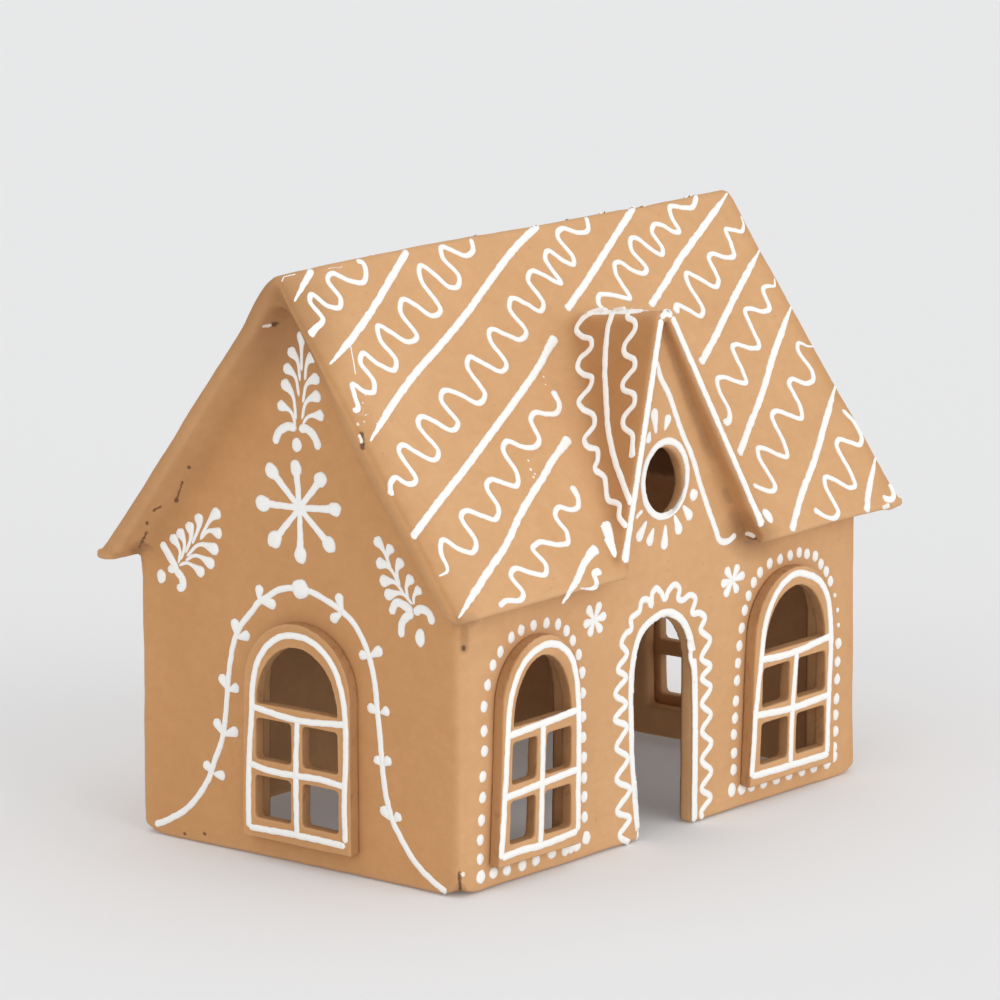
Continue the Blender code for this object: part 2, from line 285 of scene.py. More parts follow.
def brush_group() -> bpy.types.NodeTree:
    """Fine lines that a stiff brush leaves, drawn out along one way."""
    group = NodeGroup(
        "brush_strokes",
        {"Vector": ("NodeSocketVector", (0, 0, 0)), "Scale": ("NodeSocketFloat", 900.0),
         "Stretch": ("NodeSocketVector", (0.12, 1.0, 1.0)), "Sway": ("NodeSocketFloat", 0.004)},
        {"Mask": "NodeSocketFloat"})
    given = group.given.outputs
    bend = group.add("ShaderNodeTexNoise", Scale_in=60.0, Detail_in=1.0)
    group.link(given["Vector"], bend.inputs["Vector"])
    shift = group.add("ShaderNodeVectorMath", operation="SCALE")
    group.link(bend.outputs["Color"], shift.inputs[0])
    group.link(given["Sway"], shift.inputs["Scale"])
    moved = group.add("ShaderNodeVectorMath", operation="ADD")
    group.link(given["Vector"], moved.inputs[0])
    group.link(shift.outputs[0], moved.inputs[1])
    drawn = group.add("ShaderNodeVectorMath", operation="MULTIPLY")
    group.link(moved.outputs[0], drawn.inputs[0])
    group.link(given["Stretch"], drawn.inputs[1])
    lines = group.add("ShaderNodeTexNoise", Detail_in=3.0, Roughness_in=0.6)
    group.link(drawn.outputs[0], lines.inputs["Vector"])
    group.link(given["Scale"], lines.inputs["Scale"])
    group.link(lines.outputs[0], group.result.inputs["Mask"])
    return group.tree


def grain_group() -> bpy.types.NodeTree:
    """Fine grain and sparse pinholes of dried slip or fired clay, as a height."""
    group = NodeGroup(
        "fired_grain",
        {"Vector": ("NodeSocketVector", (0, 0, 0)), "Scale": ("NodeSocketFloat", 1500.0),
         "Pin Scale": ("NodeSocketFloat", 260.0), "Pin Size": ("NodeSocketFloat", 0.16),
         "Pin Depth": ("NodeSocketFloat", 0.6)},
        {"Height": "NodeSocketFloat", "Pins": "NodeSocketFloat"})
    given = group.given.outputs
    grain = group.add("ShaderNodeTexNoise", Detail_in=4.0, Roughness_in=0.65)
    group.link(given["Vector"], grain.inputs["Vector"])
    group.link(given["Scale"], grain.inputs["Scale"])
    holes = group.add("ShaderNodeTexVoronoi", feature="F1")
    group.link(given["Vector"], holes.inputs["Vector"])
    group.link(given["Pin Scale"], holes.inputs["Scale"])
    scatter = group.add("ShaderNodeSeparateColor")
    group.link(holes.outputs["Color"], scatter.inputs[0])
    rare = math_node(group, "GREATER_THAN", scatter.outputs[0], 0.86)
    edge = math_node(group, "DIVIDE", holes.outputs["Distance"], given["Pin Size"])
    hole = math_node(group, "SUBTRACT", 1.0, edge, True)
    pins = math_node(group, "MULTIPLY", hole, rare, True)
    depth = math_node(group, "MULTIPLY", pins, given["Pin Depth"])
    height = math_node(group, "SUBTRACT", grain.outputs[0], depth)
    group.link(height, group.result.inputs["Height"])
    group.link(pins, group.result.inputs["Pins"])
    return group.tree


def surface_group() -> bpy.types.NodeTree:
    """Reads how hollow, sharp or sheltered the mesh is at each point."""
    group = NodeGroup(
        "clay_form", {"Soften": ("NodeSocketFloat", 1.0)},
        {"Hollow": "NodeSocketFloat", "Edge": "NodeSocketFloat", "Inside": "NodeSocketFloat",
         "Flank": "NodeSocketFloat", "Gable": "NodeSocketFloat", "Tilted_side_shade": "NodeSocketFloat"})
    for label in ("hollow", "edge", "inside", "flank", "gable", "tilted_side_shade"):
        reader = group.add("ShaderNodeAttribute", attribute_name=label)
        value = math_node(group, "MULTIPLY", reader.outputs["Fac"],
                          group.given.outputs["Soften"], True)
        group.link(value, group.result.inputs[label.capitalize()])
    return group.tree


def mark_group() -> bpy.types.NodeTree:
    """A ragged mark that runs straight from one place to another and sinks inwards."""
    group = NodeGroup(
        "clay_mark",
        {"Vector": ("NodeSocketVector", (0, 0, 0)), "Start": ("NodeSocketVector", (0, 0, 0)),
         "Reach": ("NodeSocketVector", (0, 0, 0)), "Inward": ("NodeSocketVector", (0, 0, 0)),
         "Length Squared": ("NodeSocketFloat", 1.0),
         "Width": ("NodeSocketFloat", 0.001), "Soft": ("NodeSocketFloat", 0.5),
         "Ragged": ("NodeSocketFloat", 0.001)},
        {"Mask": "NodeSocketFloat"})
    given = group.given.outputs

    def vector_node(operation: str, first: bpy.types.NodeSocket, second: object) -> bpy.types.Node:
        node = group.add("ShaderNodeVectorMath", operation=operation)
        group.link(first, node.inputs[0])
        slot = node.inputs["Scale"] if operation == "SCALE" else node.inputs[1]
        if isinstance(second, bpy.types.NodeSocket):
            group.link(second, slot)
        else:
            slot.default_value = second
        return node

    rough = group.add("ShaderNodeTexNoise", Scale_in=900.0, Detail_in=3.0)
    group.link(given["Vector"], rough.inputs["Vector"])
    centred = vector_node("SUBTRACT", rough.outputs["Color"], (0.5, 0.5, 0.5))
    pushed = vector_node("SCALE", centred.outputs[0], given["Ragged"])
    moved = vector_node("ADD", given["Vector"], pushed.outputs[0])
    offset = vector_node("SUBTRACT", moved.outputs[0], given["Start"])
    inwards = vector_node("DOT_PRODUCT", offset.outputs[0], given["Inward"])
    sunk = vector_node("SCALE", given["Inward"], inwards.outputs["Value"])
    away = vector_node("SUBTRACT", offset.outputs[0], sunk.outputs[0])
    along = vector_node("DOT_PRODUCT", away.outputs[0], given["Reach"])
    share = math_node(group, "DIVIDE", along.outputs["Value"], given["Length Squared"], True)
    foot = vector_node("SCALE", given["Reach"], share)
    off = vector_node("SUBTRACT", away.outputs[0], foot.outputs[0])
    distance = vector_node("LENGTH", off.outputs[0], (0.0, 0.0, 0.0)).outputs["Value"]
    wide = math_node(group, "DIVIDE", distance, given["Width"])
    inner = math_node(group, "SUBTRACT", wide, 0.5)
    faded = math_node(group, "DIVIDE", inner, given["Soft"], True)
    mask = math_node(group, "SUBTRACT", 1.0, faded, True)
    group.link(mask, group.result.inputs["Mask"])
    return group.tree


@dataclass(frozen=True)
class Palette:
    """The shared node groups, built once."""

    blotches: bpy.types.NodeTree
    brush: bpy.types.NodeTree
    grain: bpy.types.NodeTree
    form: bpy.types.NodeTree
    mark: bpy.types.NodeTree

    @classmethod
    def mixed(cls) -> "Palette":
        """Build the groups."""
        return cls(blotch_group(), brush_group(), grain_group(), surface_group(), mark_group())


Place = tuple[float, float, float]
MARK_DEPTH = 0.93


@dataclass(frozen=True)
class Mark:
    """A crack, stain, chip or patch of painted shade in the clay, from one place to another in
    millimetres.

    Attributes:
        start, end: The places that it runs between.
        width: Its full width.
        soft: How far its edge fades, as a share of its width.
        ragged: How far its edge wanders.
    """

    start: Place
    end: Place
    width: float
    soft: float = 0.5
    ragged: float = 0.8

    def mask(self, bench: "MaterialBench", palette: Palette) -> bpy.types.NodeSocket:
        """Place the mark's mask in a material."""
        start, end = Vector(self.start) * MM, Vector(self.end) * MM
        inward = leaning(-1) * MARK_DEPTH
        reach = end - start
        reach -= inward * reach.dot(inward)
        node = bench.group(palette.mark, Start=start, Reach=reach, Inward=inward,
                           Length_Squared=max(reach.length_squared, 1e-9),
                           Width=self.width * MM, Soft=self.soft, Ragged=self.ragged * MM)
        return node.outputs["Mask"]


# Dark patches: stains and specks, and painted shade in the hollow under the left gable's peak,
# under the front-left eave and at the dormer's right foot.
STAINS_AND_PAINTED_SHADE = (
    Mark((-119, -2.0, 188), (-113, 3, 178), 13.0, 1.3, 3.0),
    Mark((-107.2, -68.6, 91), (-107.4, -68.5, 82.6), 1.5, 0.8, 1.2),
    Mark((-120.7, -76.9, 94.6), (-104.3, -68.7, 92.4), 2.4, 0.9, 1.8),
    Mark((-104.3, -68.7, 93.6), (-86, -69.5, 94.0), 0.9, 0.8, 1.0),
    Mark((40.6, -69.4, 97.2), (41.4, -74.2, 95.2), 5.5, 1.2, 2.5),
    Mark((33.1, -66.9, 112), (34.4, -67.9, 108.6), 1.3, 0.8, 1.2),
    Mark((39.3, -68.9, 98.8), (40.4, -70.1, 96.0), 2.2, 0.8, 1.6),
    Mark((-114, 68.4, 97.2), (-113.2, 67.4, 98.2), 1.8, 0.9, 1.2),
    Mark((-108.7, -67.9, 3.6), (-108.6, -68.0, 0.6), 2.6, 0.4, 2.2),
)
CRACKS = (
    Mark((-115.1, 4.8, 181.4), (-120.7, -3.9, 184.4), 0.9, 0.6, 1.6),
    Mark((-121.2, -4.6, 186.2), (-120.8, -4.5, 185.6), 1.5, 0.6, 0.8),
    Mark((-107.5, -68.5, 83.4), (-107.5, -68.5, 82.9), 0.8, 0.7, 0.5),
    Mark((-120.2, -36.6, 151.2), (-121.0, -37.8, 147.0), 1.0, 0.5, 1.4),
    Mark((-113.2, 47.0, 123.6), (-112.4, 50.6, 117.2), 0.33, 0.7, 1.8),
    Mark((-112.2, 50.7, 116.9), (-112.2, 50.8, 116.6), 0.8, 0.7, 0.6),
    Mark((-115.7, 55.0, 114.5), (-117.8, 56.2, 113.3), 0.42, 0.7, 1.4),
    Mark((-117.2, 59.6, 108.8), (-116.9, 59.9, 108.3), 0.55, 0.7, 1.0),
    Mark((-114.8, 62.1, 104.6), (-112.9, 67.4, 98.2), 0.5, 0.6, 1.8),
    Mark((-114.1, 43.2, 129.2), (-114.0, 43.3, 129.0), 0.6, 0.7, 0.8),
    Mark((-109.5, 51.2, 2.2), (-109.5, 51.0, 2.0), 0.6, 0.7, 0.6),
    Mark((-109.5, 42.2, 3.7), (-109.5, 42.0, 3.5), 0.6, 0.7, 0.6),
    Mark((-108.9, -67.6, 9.0), (-108.6, -68.0, 0.4), 0.6, 0.6, 1.6),
    Mark((40.9, -71.0, 95.9), (41.2, -73.4, 95.2), 0.8, 0.6, 1.0),
    Mark((113.4, -77.6, 95.4), (113.9, -77.6, 95.3), 0.6, 0.6, 0.5),
)
SWIRL = tuple(
    Mark(*((-121.2 + 1.1 * math.cos(turn) + 0.3 * math.sin(turn),
            -4.6 - 1.4 * math.cos(turn) + 0.2 * math.sin(turn),
            186.4 + 1.8 * math.sin(turn)) for turn in (start, start + 0.8)), 0.45, 0.8, 0.7)
    for start in (0.3, 1.1, 1.9, 2.7, 3.5))
CHIPS = (
    Mark((40.4, -71.0, 96.6), (41.2, -72.9, 95.9), 1.0, 0.4, 0.7),
    Mark((110.6, -77.6, 95.2), (112.6, -77.7, 95.5), 1.2, 0.4, 0.8),
    Mark((-120.6, -36.2, 150.6), (-120.9, -37.2, 148.8), 0.7, 0.4, 1.4),
    Mark((-119.5, -34.4, 154.1), (-119.4, -34.5, 153.8), 0.6, 0.4, 0.6),
    Mark((-117.4, 7.2, 180.7), (-115.9, 5.6, 181.1), 0.6, 0.4, 0.8),
    Mark((-107.9, -68.4, 8.4), (-107.9, -68.4, 8.1), 0.9, 0.4, 0.6),
    Mark((-107.4, -68.5, 1.3), (-107.2, -68.5, 1.0), 0.8, 0.4, 0.8),
)


class MaterialBench:
    """One material's node tree and short ways to fill it."""

    def __init__(self, name: str) -> None:
        """Start a material with a Principled shader."""
        self.material = bpy.data.materials.new(name)
        self.material.use_nodes = True
        self.tree = self.material.node_tree
        self.shader = self.tree.nodes["Principled BSDF"]
        self.place = add_node(self.tree, "ShaderNodeTexCoord").outputs["Object"]

    def group(self, tree: bpy.types.NodeTree, **values: object) -> bpy.types.Node:
        """Place a node group, fed with the object's own coordinates where it asks for them."""
        node = self.tree.nodes.new("ShaderNodeGroup")
        node.node_tree = tree
        if "Vector" in node.inputs:
            self.tree.links.new(self.place, node.inputs["Vector"])
        for name, value in values.items():
            node.inputs[name.replace("_", " ")].default_value = value
        return node

    def mix(self, mask: bpy.types.NodeSocket, first: object, second: object,
            strength: float = 1.0, blend: str = "MIX") -> bpy.types.NodeSocket:
        """Mix two colours by a mask.

        Args:
            mask: The mask's socket.
            first: Colour or socket where the mask is 0.
            second: Colour or socket where the mask is 1.
            strength: How much of the second colour a full mask brings.
            blend: The Mix node's blend type.

        Returns:
            The mixed colour's socket.
        """
        scaled = add_node(self.tree, "ShaderNodeMath", operation="MULTIPLY", use_clamp=True)
        self.tree.links.new(mask, scaled.inputs[0])
        scaled.inputs[1].default_value = strength
        node = add_node(self.tree, "ShaderNodeMix", data_type="RGBA", blend_type=blend)
        self.tree.links.new(scaled.outputs[0], node.inputs[0])
        for index, value in ((6, first), (7, second)):
            if isinstance(value, bpy.types.NodeSocket):
                self.tree.links.new(value, node.inputs[index])
            else:
                node.inputs[index].default_value = value
        return node.outputs[2]

    def any_of(self, masks: Sequence[bpy.types.NodeSocket]) -> bpy.types.NodeSocket:
        """The strongest of several masks at each place."""
        strongest = masks[0]
        for mask in masks[1:]:
            node = add_node(self.tree, "ShaderNodeMath", operation="MAXIMUM")
            self.tree.links.new(strongest, node.inputs[0])
            self.tree.links.new(mask, node.inputs[1])
            strongest = node.outputs[0]
        return strongest

    def both(self, first: bpy.types.NodeSocket,
             second: bpy.types.NodeSocket) -> bpy.types.NodeSocket:
        """Where two masks meet."""
        node = add_node(self.tree, "ShaderNodeMath", operation="MULTIPLY")
        self.tree.links.new(first, node.inputs[0])
        self.tree.links.new(second, node.inputs[1])
        return node.outputs[0]

    def above(self, value: bpy.types.NodeSocket, low: float,
              high: float) -> bpy.types.NodeSocket:
        """A mask that grows from 0 where a value is low to 1 where it is high."""
        node = add_node(self.tree, "ShaderNodeMapRange")
        node.inputs["From Min"].default_value = low
        node.inputs["From Max"].default_value = high
        self.tree.links.new(value, node.inputs["Value"])
        return node.outputs[0]

    def bump(self, height: bpy.types.NodeSocket, distance: float, strength: float,
             below: bpy.types.NodeSocket | None = None) -> bpy.types.NodeSocket:
        """A Bump node over another normal, whose output is a normal."""
        node = add_node(self.tree, "ShaderNodeBump")
        node.inputs["Distance"].default_value = distance
        node.inputs["Strength"].default_value = strength
        self.tree.links.new(height, node.inputs["Height"])
        if below is not None:
            self.tree.links.new(below, node.inputs["Normal"])
        return node.outputs[0]

    def feed(self, socket: str, value: bpy.types.NodeSocket) -> None:
        """Join a socket to the shader."""
        self.tree.links.new(value, self.shader.inputs[socket])

    def ranged(self, value: bpy.types.NodeSocket, low: float, high: float) -> bpy.types.NodeSocket:
        """Spread a value from 0..1 to low..high."""
        node = add_node(self.tree, "ShaderNodeMapRange")
        node.inputs["To Min"].default_value = low
        node.inputs["To Max"].default_value = high
        self.tree.links.new(value, node.inputs["Value"])
        return node.outputs[0]


@dataclass(frozen=True)
class ClayFinish:
    """Matt gingerbread-brown paint over fired clay, brushed on by hand."""

    name: str
    light: Color = (0.705, 0.413, 0.208, 1.0)
    warm: Color = (0.610, 0.340, 0.158, 1.0)
    dark: Color = (0.330, 0.170, 0.075, 1.0)
    worn: Color = (0.740, 0.470, 0.270, 1.0)
    # painted shade: near-black brown for the clay inside the hollow shell
    painted_interior_shade: Color = (0.125, 0.048, 0.017, 1.0)
    # painted shade: tint multiplied onto clay that faces sideways, the gable walls most
    gable: Color = (0.90, 0.81, 0.69, 1.0)
    # painted shade: tint multiplied onto clay that faces sideways and tilts up or down
    tilted_side_shade: Color = (0.79, 0.755, 0.72, 1.0)
    groove: Color = (0.200, 0.095, 0.042, 1.0)
    crack: Color = (0.075, 0.034, 0.018, 1.0)
    chip: Color = (0.86, 0.82, 0.74, 1.0)
    brush_stretch: Place = (0.12, 0.5, 1.0)
    roughness: Spot = (0.68, 0.86)
    marked: bool = False

    def material(self, palette: Palette) -> bpy.types.Material:
        """Build the material from the shared groups."""
        bench = MaterialBench(self.name)
        blotches = bench.group(palette.blotches, Broad_Scale=26.0, Small_Scale=190.0)
        strokes = bench.group(palette.brush, Scale=520.0, Stretch=self.brush_stretch)
        grain = bench.group(palette.grain, Scale=1300.0)
        form = bench.group(palette.form)
        color = bench.mix(blotches.outputs[0], self.light, self.warm, 0.85)
        color = bench.mix(strokes.outputs[0], color, self.warm, 0.45)
        speckle = bench.group(palette.blotches, Broad_Scale=230.0, Small_Scale=640.0,
                              Small_Share=0.5)
        color = bench.mix(speckle.outputs[0], color, self.dark, 0.09)
        # Painted shade: sideways-facing clay, the gable walls most, is multiplied darker and
        # warmer.
        color = bench.mix(form.outputs["Gable"], color, self.gable, 1.0, "MULTIPLY")
        # Painted shade: clay that faces sideways and tilts up or down, such as the dormer's
        # slopes, is multiplied darker.
        color = bench.mix(form.outputs["Tilted_side_shade"], color, self.tilted_side_shade, 1.0, "MULTIPLY")
        color = bench.mix(form.outputs["Edge"], color, self.worn, 0.35)
        # Painted shade: concave creases and corners of the clay are darkened towards the dark
        # brown.
        color = bench.mix(form.outputs["Hollow"], color, self.dark, 0.8)
        color = bench.mix(grain.outputs["Pins"], color, self.dark, 0.45)
        # Window panels' sides and pane reveals darkened: partly painted shade of the recesses,
        # partly their dark cut edges.
        color = bench.mix(form.outputs["Flank"], color, self.dark, 0.5)
        streaks = bench.group(palette.brush, Scale=430.0, Stretch=(1.0, 1.0, 0.30), Sway=0.012)
        torn = bench.both(form.outputs["Flank"], bench.above(streaks.outputs[0], 0.55, 0.66))
        color = bench.mix(torn, color, self.groove, 0.35)
        # Painted shade: the clay inside the hollow shell is painted near-black brown.
        color = bench.mix(form.outputs["Inside"], color, self.painted_interior_shade, 1.0)
        if self.marked:
            for marks, tone, strength in ((STAINS_AND_PAINTED_SHADE, self.dark, 0.5), (SWIRL, self.crack, 0.45),
                                          (CRACKS, self.crack, 0.8),
                                          (CHIPS, self.chip, 1.0)):
                mask = bench.any_of([mark.mask(bench, palette) for mark in marks])
                color = bench.mix(mask, color, tone, strength)
        bench.feed("Base Color", color)
        bench.feed("Roughness", bench.ranged(strokes.outputs[0], *self.roughness))
        drawn = bench.bump(strokes.outputs[0], 0.12 * MM, 0.5)
        bench.feed("Normal", bench.bump(grain.outputs["Height"], 0.10 * MM, 0.55, drawn))
        bench.shader.inputs["Specular IOR Level"].default_value = 0.25
        return bench.material


@dataclass(frozen=True)
class SlipFinish:
    """White slip piped on in raised lines, matt and faintly grainy."""

    name: str
    body: Color = (0.93, 0.93, 0.905, 1.0)
    thin: Color = (0.80, 0.72, 0.60, 1.0)
    dirt: Color = (0.62, 0.50, 0.36, 1.0)
    roughness: float = 0.55

    def material(self, palette: Palette) -> bpy.types.Material:
        """Build the material from the shared groups."""
        bench = MaterialBench(self.name)
        blotches = bench.group(palette.blotches, Broad_Scale=60.0, Small_Scale=420.0)
        grain = bench.group(palette.grain, Scale=1700.0, Pin_Scale=330.0)
        form = bench.group(palette.form)
        color = bench.mix(blotches.outputs[0], self.body, self.thin, 0.12)
        color = bench.mix(form.outputs["Hollow"], color, self.thin, 0.45)
        color = bench.mix(grain.outputs["Pins"], color, self.dirt, 0.35)
        bench.feed("Base Color", color)
        bench.shader.inputs["Roughness"].default_value = self.roughness
        bench.feed("Normal", bench.bump(grain.outputs["Height"], 0.06 * MM, 0.45))
        bench.shader.inputs["Specular IOR Level"].default_value = 0.35
        return bench.material


@dataclass(frozen=True)
class FloorFinish:
    """Plain pale matt floor, lit a little from below as a studio table is."""

    name: str = "pale_floor"
    color: Color = (0.74, 0.742, 0.748, 1.0)
    glow: float = 0.105

    def material(self) -> bpy.types.Material:
        """Build the material."""
        bench = MaterialBench(self.name)
        bench.shader.inputs["Base Color"].default_value = self.color
        bench.shader.inputs["Roughness"].default_value = 0.9
        bench.shader.inputs["Specular IOR Level"].default_value = 0.1
        bench.shader.inputs["Emission Color"].default_value = (0.97, 0.985, 1.0, 1.0)
        bench.shader.inputs["Emission Strength"].default_value = self.glow
        return bench.material


# ---------------------------------------------------------------- clay

def add_piece(name: str, mesh: bpy.types.Mesh, material: bpy.types.Material) -> bpy.types.Object:
    """Link a finished mesh as a piece of the house.

    Args:
        name: The piece's name.
        mesh: Its mesh, in place.
        material: Its finish.

    Returns:
        The piece.
    """
    piece = bpy.data.objects.new(name, mesh)
    bpy.context.scene.collection.objects.link(piece)
    mesh.materials.clear()
    mesh.materials.append(material)
    mesh.polygons.foreach_set("use_smooth", [True] * len(mesh.polygons))
    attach(piece, ROOT)
    LOG.info("%s: %d faces", name, len(mesh.polygons))
    return piece


def bump(value: float, middle: float, spread: float) -> float:
    """A smooth hill of height 1 over middle."""
    return math.exp(-((value - middle) / spread) ** 2)


def ramp(value: float, low: float, high: float) -> float:
    """A smooth step from 0 at low to 1 at high."""
    share = min(1.0, max(0.0, (value - low) / (high - low)))
    return share * share * (3 - 2 * share)


def worn(near: float, deep: float, radius: float) -> Spot:
    """How far a point moves in when a square edge is worn round.

    Args:
        near: Its distance from one face.
        deep: Its distance from the other face.
        radius: The radius that the edge is worn to.

    Returns:
        How far it moves away from the two faces.
    """
    if near >= radius or deep >= radius:
        return 0.0, 0.0
    first, second = radius - near, radius - deep
    share = 1 - max(first, second) / math.hypot(first, second)
    return first * share, second * share


def under_roof(y: float, z: float) -> float:
    """How deep a place lies under the roof's upper surface, in millimetres."""
    return (200.5 - z) * 0.5976 - abs(y) * 0.8018


def hand_form(place: Vector) -> Vector:
    """How the hand-cut slabs differ from their true planes, the same for all pieces.

    The front slope thins towards its gable edges, which are worn round, the hollow under the
    left gable's peak is deep, the eaves droop to a point, the ridge and the rear rake are not
    straight, the walls spread a little and their lower corners are worn round.
    """
    x, y, z = (value / MM for value in place)
    beside = abs(x - PLAN.wall_middle)
    deep = under_roof(y, z)
    over = min(1.2, max(0.0, (beside - 107.6) / 11.6))
    shift = Vector((0, 0, 0))
    if -1 < deep < 18 and z > 88:
        side = -1 if y < 0 else 1
        inward = 1 if x < 0 else -1
        front = ramp(-y, -6, 4)
        radius = 3.0 + (2.4 * front + (1.0 + 1.2 * front) * ramp(z, 150, 188) if x < 0 else 0)
        along, down = worn(ROOF_END - abs(x), deep, radius)
        shift.x += inward * along
        shift.y -= 0.8018 * down * max(-1.0, min(1.0, y / 5))
        shift.z -= 0.5976 * down
        cut = 1.2 + 3.6 * ramp(z, 145, 178)
        shift.x += inward * cut * front * ramp(deep, 1.0, 7.0) * over ** 1.2
        slab = ramp(18 - deep, 0, 8)
        edge = ramp(beside, 60, 118) if x < 0 else 0.0
        swell = 1.1 * bump(z, 99, 9) - 0.7 * bump(z, 170, 16) + 1.4 * bump(z, 190, 6)
        shift.y += swell * slab * edge * (1 - front) * 0.8
        shift.y += side * 0.7 * ramp(abs(y), 74, 78)
        lifted = over * ramp(deep, 2.5, 6.0) * ramp(99 - z, 0, 4) * ramp(-y, 69, 73)
        shift.z += 1.6 * lifted
        shift.z += (0.35 + 0.9 * bump(x, -62, 44)) * ramp(z, 186, 196)
        if x < 0:
            hollow = 2.2 * bump(y, -0.5, 8) * ramp(deep, 4.5, 9.0) * ramp(z, 168, 180) * over
            shift.z += hollow
            shift.y += 0.35 * hollow
        elif y < 0:
            shift.z -= 1.0 * bump(x, 113, 5) * ramp(100 - z, 0, 5)
    if z < 97:
        low = 1 - z / 97
        shift.x += (1.3 + 2.0 * low) * ramp(x, 84, 104)
        shift.y += 1.3 * ramp(y, 55, 68)
    corner = math.hypot(beside - PLAN.wall_length / 2, abs(y) - PLAN.wall_depth / 2)
    shift.z += 2.8 * bump(corner, 0, 5.0) * ramp(12 - z, 0, 12)
    return shift * MM


def melted(place: Vector) -> float:
    """How far wet fingers smoothed the clay at a place, from 0 to 1.

    They ran along the valleys beside the dormer and the hollows under the gables' rims.
    """
    x, y, z = (value / MM for value in place)
    deep = under_roof(y, z)
    over = min(1.0, max(0.0, (abs(x - PLAN.wall_middle) - 107.6) / 5))
    top = 8.0 if y < 0 else 5.2
    share = over * ramp(deep, top, top + 2.5) * ramp(22 - deep, 0, 5) * ramp(z, 96, 104)
    share *= 1 - 0.85 * ramp(z, 170, 179)
    if y < -4 and abs(x - PLAN.dormer_middle) < 60:
        above = abs((place - SLOPE.origin).dot(SLOPE.out)) / MM
        for facet in DORMER_SLOPES:
            aside = abs((place - facet.origin).dot(facet.out)) / MM
            share = max(share, ramp(10 - max(above, aside), 0, 5) * ramp(z, 101, 110))
    return share


def hand_sway(place: Vector) -> Vector:
    """How far building by hand has pushed the clay at a place, the same for all its pieces."""
    broad = noise.noise_vector(place / 0.085 + Vector((3.1, 7.7, 1.3))) * 0.55 * MM
    near = noise.noise_vector(place / 0.026 + Vector((9.4, 2.6, 5.8))) * 0.22 * MM
    return broad + near


